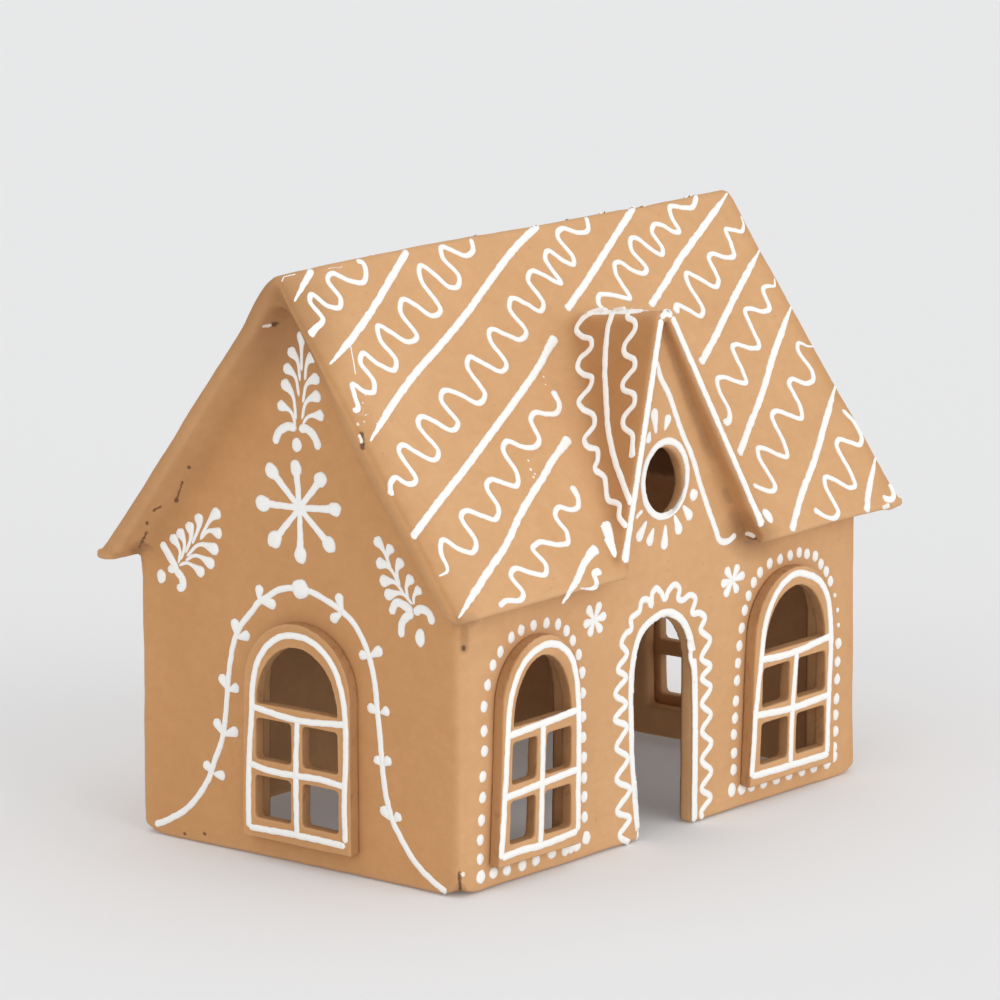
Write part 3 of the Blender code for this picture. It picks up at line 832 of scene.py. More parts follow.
@dataclass
class ClayPart:
    """One clay piece: the solid's shape with edges and surfaces as hands leave them.

    Attributes:
        name: The piece's name.
        node: The solid that it stands for.
        voxel: Size of the cells that it is rebuilt from.
        smoothing: Rounds of smoothing.
        keep: Share of the rebuilt faces that stay.
        lumps: Height of the small lumps.
        base_rise: How far the uneven lower rim lifts off the ground.
        truth: How far the softened points go back to the solid's own surface.
        shallow: Depth inside the walls' faces where the painted interior shade begins.
    """

    name: str
    node: str
    voxel: float
    smoothing: int
    keep: float
    lumps: float
    base_rise: float = 0.0
    truth: float = 0.65
    shallow: float = 3.0 * MM
    mesh: bpy.types.Mesh = field(init=False)

    def build(self) -> None:
        """Rebuild the solid as an evenly meshed, softened and slightly uneven skin."""
        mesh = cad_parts[self.node].data.copy()
        shape = bmesh.new()
        shape.from_mesh(mesh)
        bmesh.ops.remove_doubles(shape, verts=shape.verts, dist=0.01 * MM)
        bmesh.ops.recalc_face_normals(shape, faces=shape.faces)
        solid = BVHTree.FromBMesh(shape)
        shape.to_mesh(mesh)
        shape.free()
        block = bpy.data.objects.new(self.name + "_block", mesh)
        bpy.context.scene.collection.objects.link(block)
        rebuild = block.modifiers.new("rebuild", "REMESH")
        rebuild.mode = "VOXEL"
        rebuild.voxel_size = self.voxel
        soften = block.modifiers.new("soften", "SMOOTH")
        soften.factor = 0.5
        soften.iterations = self.smoothing
        thin = block.modifiers.new("thin", "DECIMATE")
        thin.ratio = self.keep
        bpy.context.view_layer.update()
        ready = block.evaluated_get(bpy.context.evaluated_depsgraph_get())
        self.mesh = bpy.data.meshes.new_from_object(ready)
        bpy.data.objects.remove(block, do_unlink=True)
        self.mesh.name = self.name
        self._work_by_hand(solid)
        if self.node == "house_shell":
            self._melt(26)
        self._read_form()

    def _work_by_hand(self, solid: BVHTree) -> None:
        """Push the points about as hands and tools do, keeping them above the ground."""
        pushed = []
        for point in self.mesh.vertices:
            place = point.co.lerp(solid.find_nearest(point.co)[0], self.truth)
            lump = noise.noise(place / 0.009 + Vector((1.7, 4.2, 8.8)))
            fine = noise.noise(place / 0.0032 + Vector((6.1, 0.4, 2.9)))
            moved = place + hand_sway(place) + hand_form(place)
            moved += point.normal * self.lumps * (lump + 0.4 * fine)
            fade = max(0.0, 1.0 - place.z / 0.012)
            rim = 0.5 + 0.5 * noise.noise(Vector((place.x / 0.03, place.y / 0.03, 0.7)))
            moved.z = max(0.0, moved.z + self.base_rise * rim * fade * fade)
            pushed.append(moved)
        self.mesh.vertices.foreach_set("co", np.array(pushed, np.float32).ravel())
        self.mesh.update()

    def _read(self, kind: str, label: str, width: int, sort: type) -> np.ndarray:
        """Read one array of numbers from the mesh, a row for each of its items."""
        items = getattr(self.mesh, kind)
        values = np.zeros(len(items) * width, sort)
        items.foreach_get(label, values)
        return values.reshape(-1, width)

    def _melt(self, rounds: int) -> None:
        """Smooth the places that wet fingers ran over.

        Args:
            rounds: How often each point moves towards the middle of its neighbours.
        """
        places = self._read("vertices", "co", 3, np.float32).astype(float)
        share = np.array([melted(point.co) for point in self.mesh.vertices])[:, None] * 0.6
        start, end = self._read("edges", "vertices", 2, np.int32).T
        near = (share[start, 0] > 0) | (share[end, 0] > 0)
        start, end = start[near], end[near]
        count = np.zeros((len(places), 1))
        np.add.at(count, start, 1)
        np.add.at(count, end, 1)
        for _ in range(rounds):
            total = np.zeros_like(places)
            np.add.at(total, start, places[end])
            np.add.at(total, end, places[start])
            middle = np.where(count > 0, total / np.maximum(count, 1), places)
            places += (middle - places) * share
        self.mesh.vertices.foreach_set("co", places.astype(np.float32).ravel())
        self.mesh.update()

    def _read_form(self) -> None:
        """Store on each point how hollow or sharp the skin is there, and how it faces."""
        count = len(self.mesh.vertices)
        places = self._read("vertices", "co", 3, np.float32)
        normals = self._read("vertices", "normal", 3, np.float32)
        start, end = self._read("edges", "vertices", 2, np.int32).T
        way = places[end] - places[start]
        length = np.maximum(np.linalg.norm(way, axis=1), 1e-6)
        bend = np.zeros(count)
        shares = np.zeros(count)
        np.add.at(bend, start, (way * normals[start]).sum(1) / length)
        np.add.at(bend, end, (-way * normals[end]).sum(1) / length)
        np.add.at(shares, start, 1)
        np.add.at(shares, end, 1)
        bend /= np.maximum(shares, 1)
        for _ in range(3):
            total = bend.copy()
            np.add.at(total, start, bend[end])
            np.add.at(total, end, bend[start])
            bend = total / (shares + 1)
        if self.node.startswith("window"):
            out = np.abs(normals[:, 0 if "gable" in self.node else 1])
            self._store("flank", np.clip((0.8 - out) / 0.45, 0, 1))
        # The clay finish paints these concave places darker, as shade in creases.
        self._store("hollow", np.clip(bend * 7.0 - 0.15, 0, 1))
        self._store("edge", np.clip(-bend * 6.0 - 0.25, 0, 1))
        half_length = (PLAN.wall_length / 2 - 1.5) * MM
        half_depth = (PLAN.wall_depth / 2 - 1.5) * MM
        deep_x = half_length - np.abs(places[:, 0] - PLAN.wall_middle * MM)
        deep_y = half_depth - np.abs(places[:, 1])
        under = 0.1895 - np.abs(places[:, 1]) * 1.342 - places[:, 2]
        facing = normals[:, 2] < 0.5
        depth = np.minimum(np.minimum(deep_x, deep_y), under)
        # How far inside the shell the clay lies; the clay finish paints it dark there, as shade.
        self._store("inside", np.clip((depth - self.shallow) / (1.6 * MM), 0, 1) * facing)
        # How far the clay faces sideways; the clay finish paints shade on it with the gable tint.
        aside = np.clip((np.abs(normals[:, 0]) - 0.35) / 0.3, 0, 1)
        aside *= 1 - np.clip(depth / MM, 0, 1)
        # Where sideways clay also tilts up or down, such as the dormer's slopes, the clay finish
        # paints it darker as shade.
        tilted_side_shade = aside * np.clip((np.abs(normals[:, 2]) - 0.12) / 0.2, 0, 1)
        for label, values in (("gable", aside), ("tilted_side_shade", tilted_side_shade)):
            for _ in range(24):
                total = values.copy()
                np.add.at(total, start, values[end])
                np.add.at(total, end, values[start])
                values = total / (shares + 1)
            self._store(label, values)

    def _store(self, label: str, values: np.ndarray) -> None:
        """Keep one number for each point of the mesh under a label."""
        layer = self.mesh.attributes.new(label, "FLOAT", "POINT")
        layer.data.foreach_set("value", values.astype(np.float32))

    def dress(self, material: bpy.types.Material) -> bpy.types.Object:
        """Finish the piece and let it stand for its solid."""
        piece = add_piece(self.name, self.mesh, material)
        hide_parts(self.node)
        return piece


class Skin:
    """The finished clay surface that slip is piped on."""

    REACH = 30 * MM

    def __init__(self, pieces: Sequence[bpy.types.Object]) -> None:
        """Gather the pieces' faces for touching."""
        points: list[Vector] = []
        faces: list[tuple[int, ...]] = []
        for piece in pieces:
            first = len(points)
            points += [point.co.copy() for point in piece.data.vertices]
            faces += [tuple(first + i for i in face.vertices) for face in piece.data.polygons]
        self.tree = BVHTree.FromPolygons(points, faces)

    def touch(self, facet: Facet, spot: Sequence[float]) -> Vector | None:
        """Where a tip that comes along the facet's way meets the clay near it, or None."""
        flat = facet.place(spot)
        found = self.tree.ray_cast(flat + facet.way * self.REACH, -facet.way,
                                   2 * self.REACH)[0]
        if found is None:
            return None
        behind, before = facet.reach
        height = (found - flat).dot(facet.out)
        return found if -behind * MM < height < before * MM else None


# ---------------------------------------------------------------- slip

def even_path(spots: Spots, step: float) -> np.ndarray:
    """Run a smooth curve through spots.

    Args:
        spots: The spots that it passes, in millimetres.
        step: Distance between its points.

    Returns:
        Points a step apart, one row each.
    """
    knots = np.array(spots, float)
    first = knots[0] * 2 - knots[1]
    last = knots[-1] * 2 - knots[-2]
    line = np.vstack([first, knots, last])
    rows = []
    for a, b, c, d in zip(line, line[1:], line[2:], line[3:]):
        t1 = math.sqrt(np.linalg.norm(b - a)) + 1e-6
        t2 = t1 + math.sqrt(np.linalg.norm(c - b)) + 1e-6
        t3 = t2 + math.sqrt(np.linalg.norm(d - c)) + 1e-6
        t = np.linspace(t1, t2, 24, endpoint=False)[:, None]
        ab = (t1 - t) / t1 * a + t / t1 * b
        bc = (t2 - t) / (t2 - t1) * b + (t - t1) / (t2 - t1) * c
        cd = (t3 - t) / (t3 - t2) * c + (t - t2) / (t3 - t2) * d
        low = (t2 - t) / t2 * ab + t / t2 * bc
        high = (t3 - t) / (t3 - t1) * bc + (t - t1) / (t3 - t1) * cd
        rows.append((t2 - t) / (t2 - t1) * low + (t - t1) / (t2 - t1) * high)
    curve = np.vstack(rows + [knots[-1:]])
    run = np.concatenate([[0], np.cumsum(np.linalg.norm(np.diff(curve, axis=0), axis=1))])
    places = np.linspace(0, run[-1], max(4, round(run[-1] / step)) + 1)
    return np.column_stack([np.interp(places, run, curve[:, 0]),
                            np.interp(places, run, curve[:, 1])])


class Tip(Enum):
    """How a piped line ends: the share of its width, and how far back that reaches."""

    ROUND = (1.0, 1.0)
    BEAD = (1.55, 1.0)
    BULB = (1.45, 2.2)
    FINE = (0.35, 3.2)
    BLUNT = (1.1, 0.8)


def leaf_shape(share: float) -> float:
    """Width of a leaf stroke from its fat head (0) to its thin tail (1)."""
    return 0.27 + 0.73 * math.exp(-(share / 0.33) ** 2.4)


def arm_shape(share: float) -> float:
    """Width of an arm that grows from a middle (0) into a blob (1)."""
    return 0.72 + 0.22 * share + 0.3 * share ** 6


def drop_shape(share: float) -> float:
    """Width of a plump drop that is fat at its head and ends in a short point."""
    return 0.42 + 0.58 * math.exp(-(share / 0.62) ** 3)


class SlipPen:
    """Pipes slip onto the skin: lines, drops and dots that gather into one mesh."""

    STEP = 0.55
    SEGMENTS = 7
    RIM = 0.05 * MM
    ROOT_DEPTH = 0.45 * MM

    def __init__(self, name: str, skin: Skin, seed: float) -> None:
        """Take up the pen for one group of ornament."""
        self.name = name
        self.skin = skin
        self.seed = seed
        self.points: list[Vector] = []
        self.faces: list[tuple[int, ...]] = []
        self.hollow: list[float] = []

    def _waver(self, run: float, reach: float) -> float:
        """A steady hand's small change along a line, between about -1 and 1."""
        return noise.noise(Vector((run / reach, self.seed, 0.37 * len(self.faces) % 97)))

    def _settle(self, facet: Facet, spot: Sequence[float], base: Vector) -> Vector:
        """Where the slip at a spot rests, or level with base where the clay falls away."""
        found = self.skin.touch(facet, spot)
        if found is not None and abs((found - base).dot(facet.out)) < facet.fall * MM:
            return found
        flat = facet.place(spot)
        way = facet.way
        return flat + way * ((base - flat).dot(facet.out) / way.dot(facet.out))

    def _bed(self, facet: Facet, path: np.ndarray) -> list[Vector]:
        """The clay under each place of a path; where there is none it stays level."""
        touched = [self.skin.touch(facet, spot) for spot in path]
        known = [(round((place - facet.place(spot)).dot(facet.out) / MM, 4), index)
                 for index, (place, spot) in enumerate(zip(touched, path)) if place is not None]
        if not known:
            return [facet.place(spot) for spot in path]
        middle = sorted(known)[len(known) // 2][1]
        bed = {middle: touched[middle]}
        for way, last in ((1, len(path)), (-1, -1)):
            base = touched[middle]
            for index in range(middle + way, last, way):
                base = self._settle(facet, path[index], base)
                bed[index] = base
        return [bed[index] for index in range(len(path))]

    def _ring(self, facet: Facet, middle: np.ndarray, side: np.ndarray, width: float,
              rise: float, base: Vector) -> list[int]:
        """Add one cross-section of a line and return the numbers of its points."""
        first = len(self.points)
        for index in range(self.SEGMENTS):
            angle = math.pi * index / (self.SEGMENTS - 1)
            spot = middle + side * (math.cos(angle) * width / 2)
            height = rise * math.sin(angle) ** 0.8 - self.RIM
            self.points.append(self._settle(facet, spot, base) + facet.out * height)
            self.hollow.append(1.0 if index in (0, self.SEGMENTS - 1) else 0.0)
        self.points.append(base - facet.out * self.ROOT_DEPTH)
        self.hollow.append(1.0)
        return list(range(first, len(self.points)))

    def line(self, facet: Facet, spots: Spots, width: float = 2.0, rise: float = 0.5,
             start: Tip = Tip.ROUND, end: Tip = Tip.ROUND,
             shape: Profile | None = None, waver: float = 1.0) -> None:
        """Pipe one line.

        Args:
            facet: The facet that it lies on.
            spots: The spots that it passes, in millimetres.
            width: Its width in millimetres.
            rise: Its height in millimetres.
            start: How it starts.
            end: How it ends.
            shape: Share of the width along the line, instead of the two tips.
            waver: How unsteady its width and its way are.
        """
        path = even_path(spots, self.STEP)
        length = np.linalg.norm(np.diff(path, axis=0), axis=1).sum()
        ways = np.gradient(path, axis=0)
        ways /= np.maximum(np.linalg.norm(ways, axis=1), 1e-9)[:, None]
        sides = np.column_stack([ways[:, 1], -ways[:, 0]])
        seed = self._waver(0, 1.0) * 50
        rings = []
        cap = min(width * 0.5, length * 0.5)
        drifts = [0.16 * waver * self._waver(length * index / (len(path) - 1) + seed + 31, 2.6)
                  for index in range(len(path))]
        path = path + sides * np.array(drifts)[:, None]
        for index, base in enumerate(self._bed(facet, path)):
            run = length * index / (len(path) - 1)
            left = length - run
            full = width * self._swell(run, left, width, length, start, end, shape)
            full *= 1 + waver * (0.10 * self._waver(run + seed, 3.1)
                                 + 0.07 * self._waver(run + seed, 1.1))
            blunt = self._cap(run, cap) * self._cap(left, cap)
            height = rise * MM * (0.55 + 0.45 * blunt) * min(1.0, full / width + 0.25)
            height *= 1 + 0.18 * waver * self._waver(run + seed, 2.0)
            rings.append(self._ring(facet, path[index], sides[index],
                                    max(full * blunt, 0.08), height, base))
        self._skin_over(rings)

    @staticmethod
    def _cap(run: float, radius: float) -> float:
        """Share of the width near a round end."""
        if run >= radius:
            return 1.0
        return math.sqrt(max(0.0, 1 - (1 - run / radius) ** 2))

    @staticmethod
    def _swell(run: float, left: float, width: float, length: float, start: Tip, end: Tip,
               shape: Profile | None) -> float:
        """Share of the width that a line has at one place."""
        if shape is not None:
            return shape(run / length)
        share = 1.0
        for tip, away in ((start, run), (end, left)):
            size, reach = tip.value
            share += (size - 1) * math.exp(-(away / (reach * width)) ** 2)
        return share

    def _skin_over(self, rings: list[list[int]]) -> None:
        """Join cross-sections into a closed tube."""
        count = self.SEGMENTS + 1
        for near, far in zip(rings, rings[1:]):
            for index in range(count):
                step = (index + 1) % count
                self.faces.append((near[index], near[step], far[step], far[index]))
        self.faces.append(tuple(reversed(rings[0])))
        self.faces.append(tuple(rings[-1]))

    def dot(self, facet: Facet, spot: Spot, radii: float | Spot = 1.6, rise: float = 0.6,
            turn: float = 0.0) -> None:
        """Pipe one dot.

        Args:
            facet: The facet that it lies on.
            spot: Its middle.
            radii: Its radius, or its two radii, in millimetres.
            rise: Its height in millimetres.
            turn: How far it is turned, in degrees.
        """
        wide, tall = radii if isinstance(radii, tuple) else (radii, radii)
        base = self.skin.touch(facet, spot) or facet.place(spot)
        count = 18
        cos, sin = math.cos(math.radians(turn)), math.sin(math.radians(turn))
        seed = spot[0] * 3.7 + spot[1] * 1.3
        rings = []
        for share in (1.0, 0.86, 0.6, 0.3):
            ring = []
            for index in range(count):
                angle = 2 * math.pi * index / count
                lobe = Vector((math.cos(angle) * 1.2, math.sin(angle) * 1.2, seed))
                swell = share * (1 + 0.16 * noise.noise(lobe))
                x, y = wide * math.cos(angle) * swell, tall * math.sin(angle) * swell
                place = (spot[0] + x * cos - y * sin, spot[1] + x * sin + y * cos)
                height = rise * MM * (1 - share ** 2) ** 0.5 - self.RIM
                ring.append(len(self.points))
                self.points.append(self._settle(facet, place, base) + facet.out * height)
                self.hollow.append(1.0 if share == 1.0 else 0.0)
            rings.append(ring)
        top = len(self.points)
        self.points += [base + facet.out * (rise * MM - self.RIM),
                        base - facet.out * self.ROOT_DEPTH]
        self.hollow += [0.0, 1.0]
        for index in range(count):
            step = (index + 1) % count
            self.faces.append((rings[0][step], rings[0][index], top + 1))
            self.faces.append((rings[-1][index], rings[-1][step], top))
            for low, high in zip(rings, rings[1:]):
                self.faces.append((low[index], low[step], high[step], high[index]))

    def dots(self, facet: Facet, spots: Spots, radii: float | Spot, rise: float = 0.6) -> None:
        """Pipe a row of dots of one size."""
        for spot in spots:
            self.dot(facet, spot, radii, rise)

    def leaf(self, facet: Facet, tip: Spot, root: Spot, width: float = 3.4,
             axis: Spot | None = None, shape: Profile = leaf_shape) -> None:
        """Pipe a stroke with a fat head at its tip and a thin tail at its root.

        Args:
            facet: The facet that it lies on.
            tip: Where its head is.
            root: Where its tail ends.
            width: The width of its head.
            axis: Way along the stem that its tail curves into, or None for a straight one.
            shape: Its outline from head to tail.
        """
        head, tail = Vector(tip), Vector(root)
        middle = (head + tail) / 2
        if axis is not None:
            stem = Vector(axis).normalized()
            bend = tail + stem * (head - tail).dot(stem) * 0.85
            middle = head * 0.25 + bend * 0.5 + tail * 0.25
        self.line(facet, (tip, tuple(middle), root), width, 0.6, shape=shape, waver=0.5)

    def lift(self, material: bpy.types.Material) -> bpy.types.Object:
        """Put down the pen and make the piece."""
        mesh = bpy.data.meshes.new(self.name)
        mesh.from_pydata(self.points, [], self.faces)
        layer = mesh.attributes.new("hollow", "FLOAT", "POINT")
        layer.data.foreach_set("value", self.hollow)
        shape = bmesh.new()
        shape.from_mesh(mesh)
        bmesh.ops.recalc_face_normals(shape, faces=shape.faces)
        shape.to_mesh(mesh)
        shape.free()
        return add_piece(self.name, mesh, material)


# ---------------------------------------------------------------- ornament

@dataclass
class DoorPiping:
    """The line round the doorway and the wavy line outside it."""

    edge: Spots = ((-13.6, 0.6), (-15.2, 12), (-17.2, 28), (-18.4, 45), (-18.2, 58),
                   (-16.5, 66), (-13, 72), (-7, 75), (0, 76.2), (5, 75), (10, 71.5),
                   (14, 65), (16.1, 55), (16.9, 40), (17, 20), (17, 0.6))
    wave: Spots = ((-18.2, 0.6), (-24.2, 4.4), (-18.5, 9), (-25.6, 13), (-18.6, 19),
                   (-26, 24), (-19.8, 30), (-26.3, 35), (-20.8, 41), (-27.3, 44.8),
                   (-21.2, 49), (-27.2, 53.5), (-21.2, 58), (-25.6, 61.5), (-20.8, 66),
                   (-24, 70), (-21.5, 73), (-18.5, 74), (-18.8, 77.5), (-14, 79.5),
                   (-13, 82.5), (-9.2, 82.2), (-7.6, 80), (-7, 84), (-5, 85.5), (-2.5, 84),
                   (0, 81), (2, 83.5), (5.5, 85), (8, 83), (7.2, 80), (9.5, 78.8),
                   (14, 80), (16.6, 78.2), (14.9, 73.8), (19.6, 72.6), (22, 70.5),
                   (19.5, 67), (24.8, 62.5), (20, 57), (25, 53.5), (20.3, 50), (25.3, 46),
                   (20.5, 41), (25.6, 36.5), (20.7, 31.5), (26, 26.5), (20.7, 21.5),
                   (26, 16.5), (20.9, 11.5), (26, 7.5), (20.8, 3.4), (21.6, 0.6))

    def pipe(self, pen: SlipPen) -> None:
        """Pipe both lines."""
        pen.line(FRONT, self.edge, 3.0, 0.6)
        pen.line(FRONT, self.wave, 2.4, 0.5)


@dataclass
class DotBorder:
    """A border of dots round a front window."""

    left: Spots
    arch: Spots
    right: Spots
    foot: Spots
    big: Spots
    tiny: Spots = ()
    radii: Spot = (1.9, 2.1)

    def pipe(self, pen: SlipPen) -> None:
        """Pipe the dots, each row by itself."""
        for row in (self.left, self.right):
            pen.dots(FRONT, row, self.radii, 0.45)
        pen.dots(FRONT, self.arch, (1.8, 2.1), 0.45)
        pen.dots(FRONT, self.foot, (2.25, 2.2), 0.9)
        pen.dots(FRONT, self.big, (2.3, 2.5), 0.5)
        pen.dots(FRONT, self.tiny, 0.95)


LEFT_BORDER = DotBorder(
    left=((-97.6, 11.6), (-97.5, 18), (-97, 24.5), (-96.4, 32), (-96.3, 39), (-95.5, 47.3),
          (-95.6, 54), (-95.5, 62)),
    arch=((-93.6, 68.8), (-90.8, 75), (-87, 78.7), (-81.6, 82.4), (-76.6, 84), (-70.2, 84.4),
          (-63.6, 84), (-57.5, 82.5), (-53, 79.5), (-49.7, 75.7), (-46.6, 70.4)),
    right=((-44.8, 64), (-44.4, 57), (-44.3, 49), (-44.1, 42), (-43.7, 35), (-43.5, 28),
           (-43.3, 21.5), (-43, 14.5)),
    foot=((-90.8, 5.5), (-83.8, 5.2), (-76, 5), (-68.8, 5.4), (-60.5, 6), (-53.5, 5.5),
          (-50.6, 5.6), (-47.3, 5.8)),
    big=((-97.3, 5.6), (-42, 7.3)))
RIGHT_BORDER = DotBorder(
    left=((39, 14.5), (39.3, 20.3), (38.8, 27), (39.6, 32.5), (40, 38.5), (40.5, 45.5),
          (40.8, 51.5), (41.5, 57.5), (42.7, 63.5)),
    arch=((44.3, 69.5), (46.2, 74.2), (49.2, 78.2), (52.6, 81.2), (58, 83.3), (64, 83.8),
          (69.8, 84.2), (75.2, 84.2), (79.8, 83), (84.6, 81.4), (88, 78), (91.3, 74.8),
          (93.8, 70.8)),
    right=((98.8, 48), (98.3, 41.5), (98.3, 35.2), (98.3, 28.2), (97.9, 22.6), (97.8, 16.8),
           (97.2, 11), (97.3, 7.7)),
    foot=((43.6, 6.8), (49.3, 6.8), (56, 6.6), (63.3, 6.5), (70.6, 6.6), (78.2, 6.4),
          (85.2, 6.3), (92.8, 6.2)),
    big=((38, 7.6),),
    tiny=((96.3, 65.5), (98, 60), (98.6, 54.5)))


@dataclass
class Asterisk:
    """Six short strokes from one middle."""

    middle: Spot
    tips: Spots

    def pipe(self, pen: SlipPen) -> None:
        """Pipe the strokes from their tips inwards."""
        for tip in self.tips:
            pen.leaf(FRONT, tip, self.middle, 3.6, shape=drop_shape)


ASTERISKS = (
    Asterisk((-38.5, 80.5), ((-42.3, 86), (-35.2, 86.3), (-32, 81.2), (-34.5, 76),
                             (-41.5, 75.5), (-44.5, 80))),
    Asterisk((37, 81), ((33, 86), (40.3, 86.2), (44, 82), (40, 76.3), (32.6, 76),
                        (30.5, 80.7))))


@dataclass
class WindowPiping:
    """The lines on one window panel: its frame, two bars, a sill line and a mullion.

    Attributes:
        facet: The wall that it is on.
        frame_line: The frame from the left foot over the arch to the right foot.
        upper, lower, sill: Bars from left to right.
        mullion: The upright bar from top to bottom.
        width: The width of every line.
    """

    facet: Facet
    frame_line: Spots
    upper: Spots
    lower: Spots
    sill: Spots
    mullion: Spots
    width: float = 2.6

    def pipe(self, pen: SlipPen) -> None:
        """Pipe every line."""
        for line in (self.frame_line, self.upper, self.lower, self.sill, self.mullion):
            pen.line(self.facet, line, self.width, 0.55)

    def shifted(self, facet: Facet, shift: float) -> "WindowPiping":
        """The same piping on another wall, moved sideways."""
        def move(spots: Spots) -> Spots:
            return tuple((x + shift, z) for x, z in spots)
        return WindowPiping(facet, move(self.frame_line), move(self.upper), move(self.lower),
                            move(self.sill), move(self.mullion), self.width)


FRONT_LEFT_LINES = WindowPiping(
    FRONT,
    ((-92.6, 11.2), (-91.4, 21.5), (-90.6, 31.5), (-89.6, 46.5), (-89, 53.5), (-88, 61.5),
     (-85.5, 68.3), (-81.5, 73.8), (-75.5, 77.4), (-67.5, 78.5), (-60.5, 76), (-56, 71.5),
     (-53.5, 64.5), (-52.5, 56.5), (-52.1, 46.5), (-52.3, 31.5), (-52.5, 12.5)),
    ((-89.4, 51.6), (-71, 52.6), (-52.6, 53.6)),
    ((-90.6, 31.2), (-71, 32.5), (-52.4, 33.6)),
    ((-92.2, 11.6), (-82, 12), (-70, 11.6), (-52.8, 12.6)),
    ((-71, 52), (-71.4, 32), (-72.2, 12.2)))
FRONT_RIGHT_LINES = WindowPiping(
    FRONT,
    ((43.1, 11.6), (44, 21.5), (44.8, 31.5), (46.5, 43.5), (47.7, 51.5), (49, 61.5),
     (52, 69), (56.5, 74.5), (61.5, 77.5), (67, 78.9), (74.5, 77.2), (81.5, 73.5),
     (86, 67.5), (87.6, 59.5), (88.1, 51.5), (87.6, 39.5), (87.3, 31.5), (87, 21.5),
     (86.7, 11.6)),
    ((47.6, 52), (66, 51.3), (89, 53.4)),
    ((44.9, 33), (66, 31.8), (88.3, 32.5)),
    ((43.2, 12), (66, 11.6), (87.6, 11.4)),
    ((68.3, 51.5), (66, 29.5), (65.2, 12)))
GABLE_LINES = WindowPiping(
    GABLE_PANEL,
    ((-18.1, 10.8), (-18.1, 21.2), (-17.7, 36), (-16.6, 51), (-16.1, 59), (-14.1, 67.1),
     (-9.6, 73.6), (-3.6, 77.6), (4.4, 78.7), (10.4, 77.4), (16.4, 73.6), (20.9, 67.1),
     (23.4, 59), (24.1, 51), (24.1, 41), (23.3, 26), (23.7, 12.2)),
    ((-16.7, 52.1), (3.9, 50.5), (23.9, 52.1)),
    ((-17.6, 32.7), (-7.6, 31.5), (13.9, 32), (23.7, 31.2)),
    ((-18.1, 11), (3.9, 11.5), (23.7, 11.2)),
    ((3.2, 50.8), (2.5, 31), (2.8, 11.4)), 2.35)


@dataclass
class Vine:
    """A stem round the gable window, with pairs of buds and one round blob on top."""

    stem: Spots = ((-64.5, 3), (-58, 6), (-50, 11), (-45, 16), (-40, 23), (-37.5, 29),
                   (-34, 37), (-32.3, 45), (-31.5, 52), (-30.5, 61), (-28, 72), (-25.5, 77),
                   (-21, 82), (-17, 86.5), (-13, 89), (-8, 92), (0, 93.5), (6, 93),
                   (12, 91.3), (18, 89), (23, 86), (27, 81.5), (30, 76), (32.5, 68),
                   (33.8, 58), (35, 48), (36, 38), (37.3, 30), (40, 22), (44, 16),
                   (49, 10), (55, 5.5), (63, 1.4))
    buds: tuple[tuple[Spot, Spot, Spot], ...] = (
        ((-38, 25), (-42, 28.5), (-32.5, 25)), ((-33.5, 39), (-37, 44), (-26.5, 41.5)),
        ((-31, 54.5), (-34.5, 59.5), (-26, 56.5)), ((-27, 73), (-28, 79.5), (-21, 74.8)),
        ((-17, 87), (-16.8, 92.5), (-9.5, 86.5)), ((19, 88), (17.3, 94.5), (14, 84.8)),
        ((30.5, 75), (36, 78.5), (26, 75.3)), ((35, 57), (29.5, 58.5), (39, 58.5)),
        ((35.5, 39.5), (32.5, 42), (39.5, 42.5)), ((40.5, 21.5), (35, 25.5), (43.5, 24.5)))

    def pipe(self, pen: SlipPen, facet: Facet) -> None:
        """Pipe the stem, then its buds, then the blob."""
        pen.line(facet, self.stem, 2.35, 0.5)
        for joint, left, right in self.buds:
            for tip in (left, right):
                pen.leaf(facet, tip, joint, 4.1, shape=drop_shape)
        pen.dot(facet, (1, 93.3), (3.9, 3.6), 0.8)


@dataclass
class Snowflake:
    """Eight arms that end in blobs."""

    middle: Spot = (1, 120.5)
    ends: tuple[tuple[float, float, float], ...] = (
        (-0.5, 133.5, 2.6), (10, 131, 2.7), (16, 122, 2.6), (13.5, 110, 2.8),
        (1.2, 105, 2.8), (-10, 108.5, 3.0), (-15, 120, 3.0), (-11, 131.2, 2.8))

    def pipe(self, pen: SlipPen, facet: Facet) -> None:
        """Pipe the arms, their blobs and the middle."""
        for x, z, radius in self.ends:
            pen.line(facet, (self.middle, (x, z)), 3.0, 0.5, shape=arm_shape)
            along = math.degrees(math.atan2(z - self.middle[1], x - self.middle[0]))
            pen.dot(facet, (x, z), (radius * 1.15, radius), 0.75, along)
        pen.dot(facet, self.middle, 2.9, 0.6)


@dataclass
class Sprig:
    """A fern-like sprig: leaves, curls at its foot and a dot.

    Attributes:
        stem: Way of the unseen stem that the leaves' tails curve into.
        leaves: Each leaf's tip and root.
        curls: Short curved strokes at the foot.
        dots: Dots, each with its two radii.
    """

    stem: Spot
    leaves: tuple[tuple[Spot, Spot], ...]
    curls: tuple[Spots, ...]
    dots: tuple[tuple[Spot, Spot], ...]

    def pipe(self, pen: SlipPen, facet: Facet) -> None:
        """Pipe the leaves, the curls and the dots."""
        for tip, root in self.leaves:
            pen.leaf(facet, tip, root, 4.8, self.stem)
        for curl in self.curls:
            pen.line(facet, curl, 3.1, 0.55)
        for spot, radii in self.dots:
            pen.dot(facet, spot, radii)


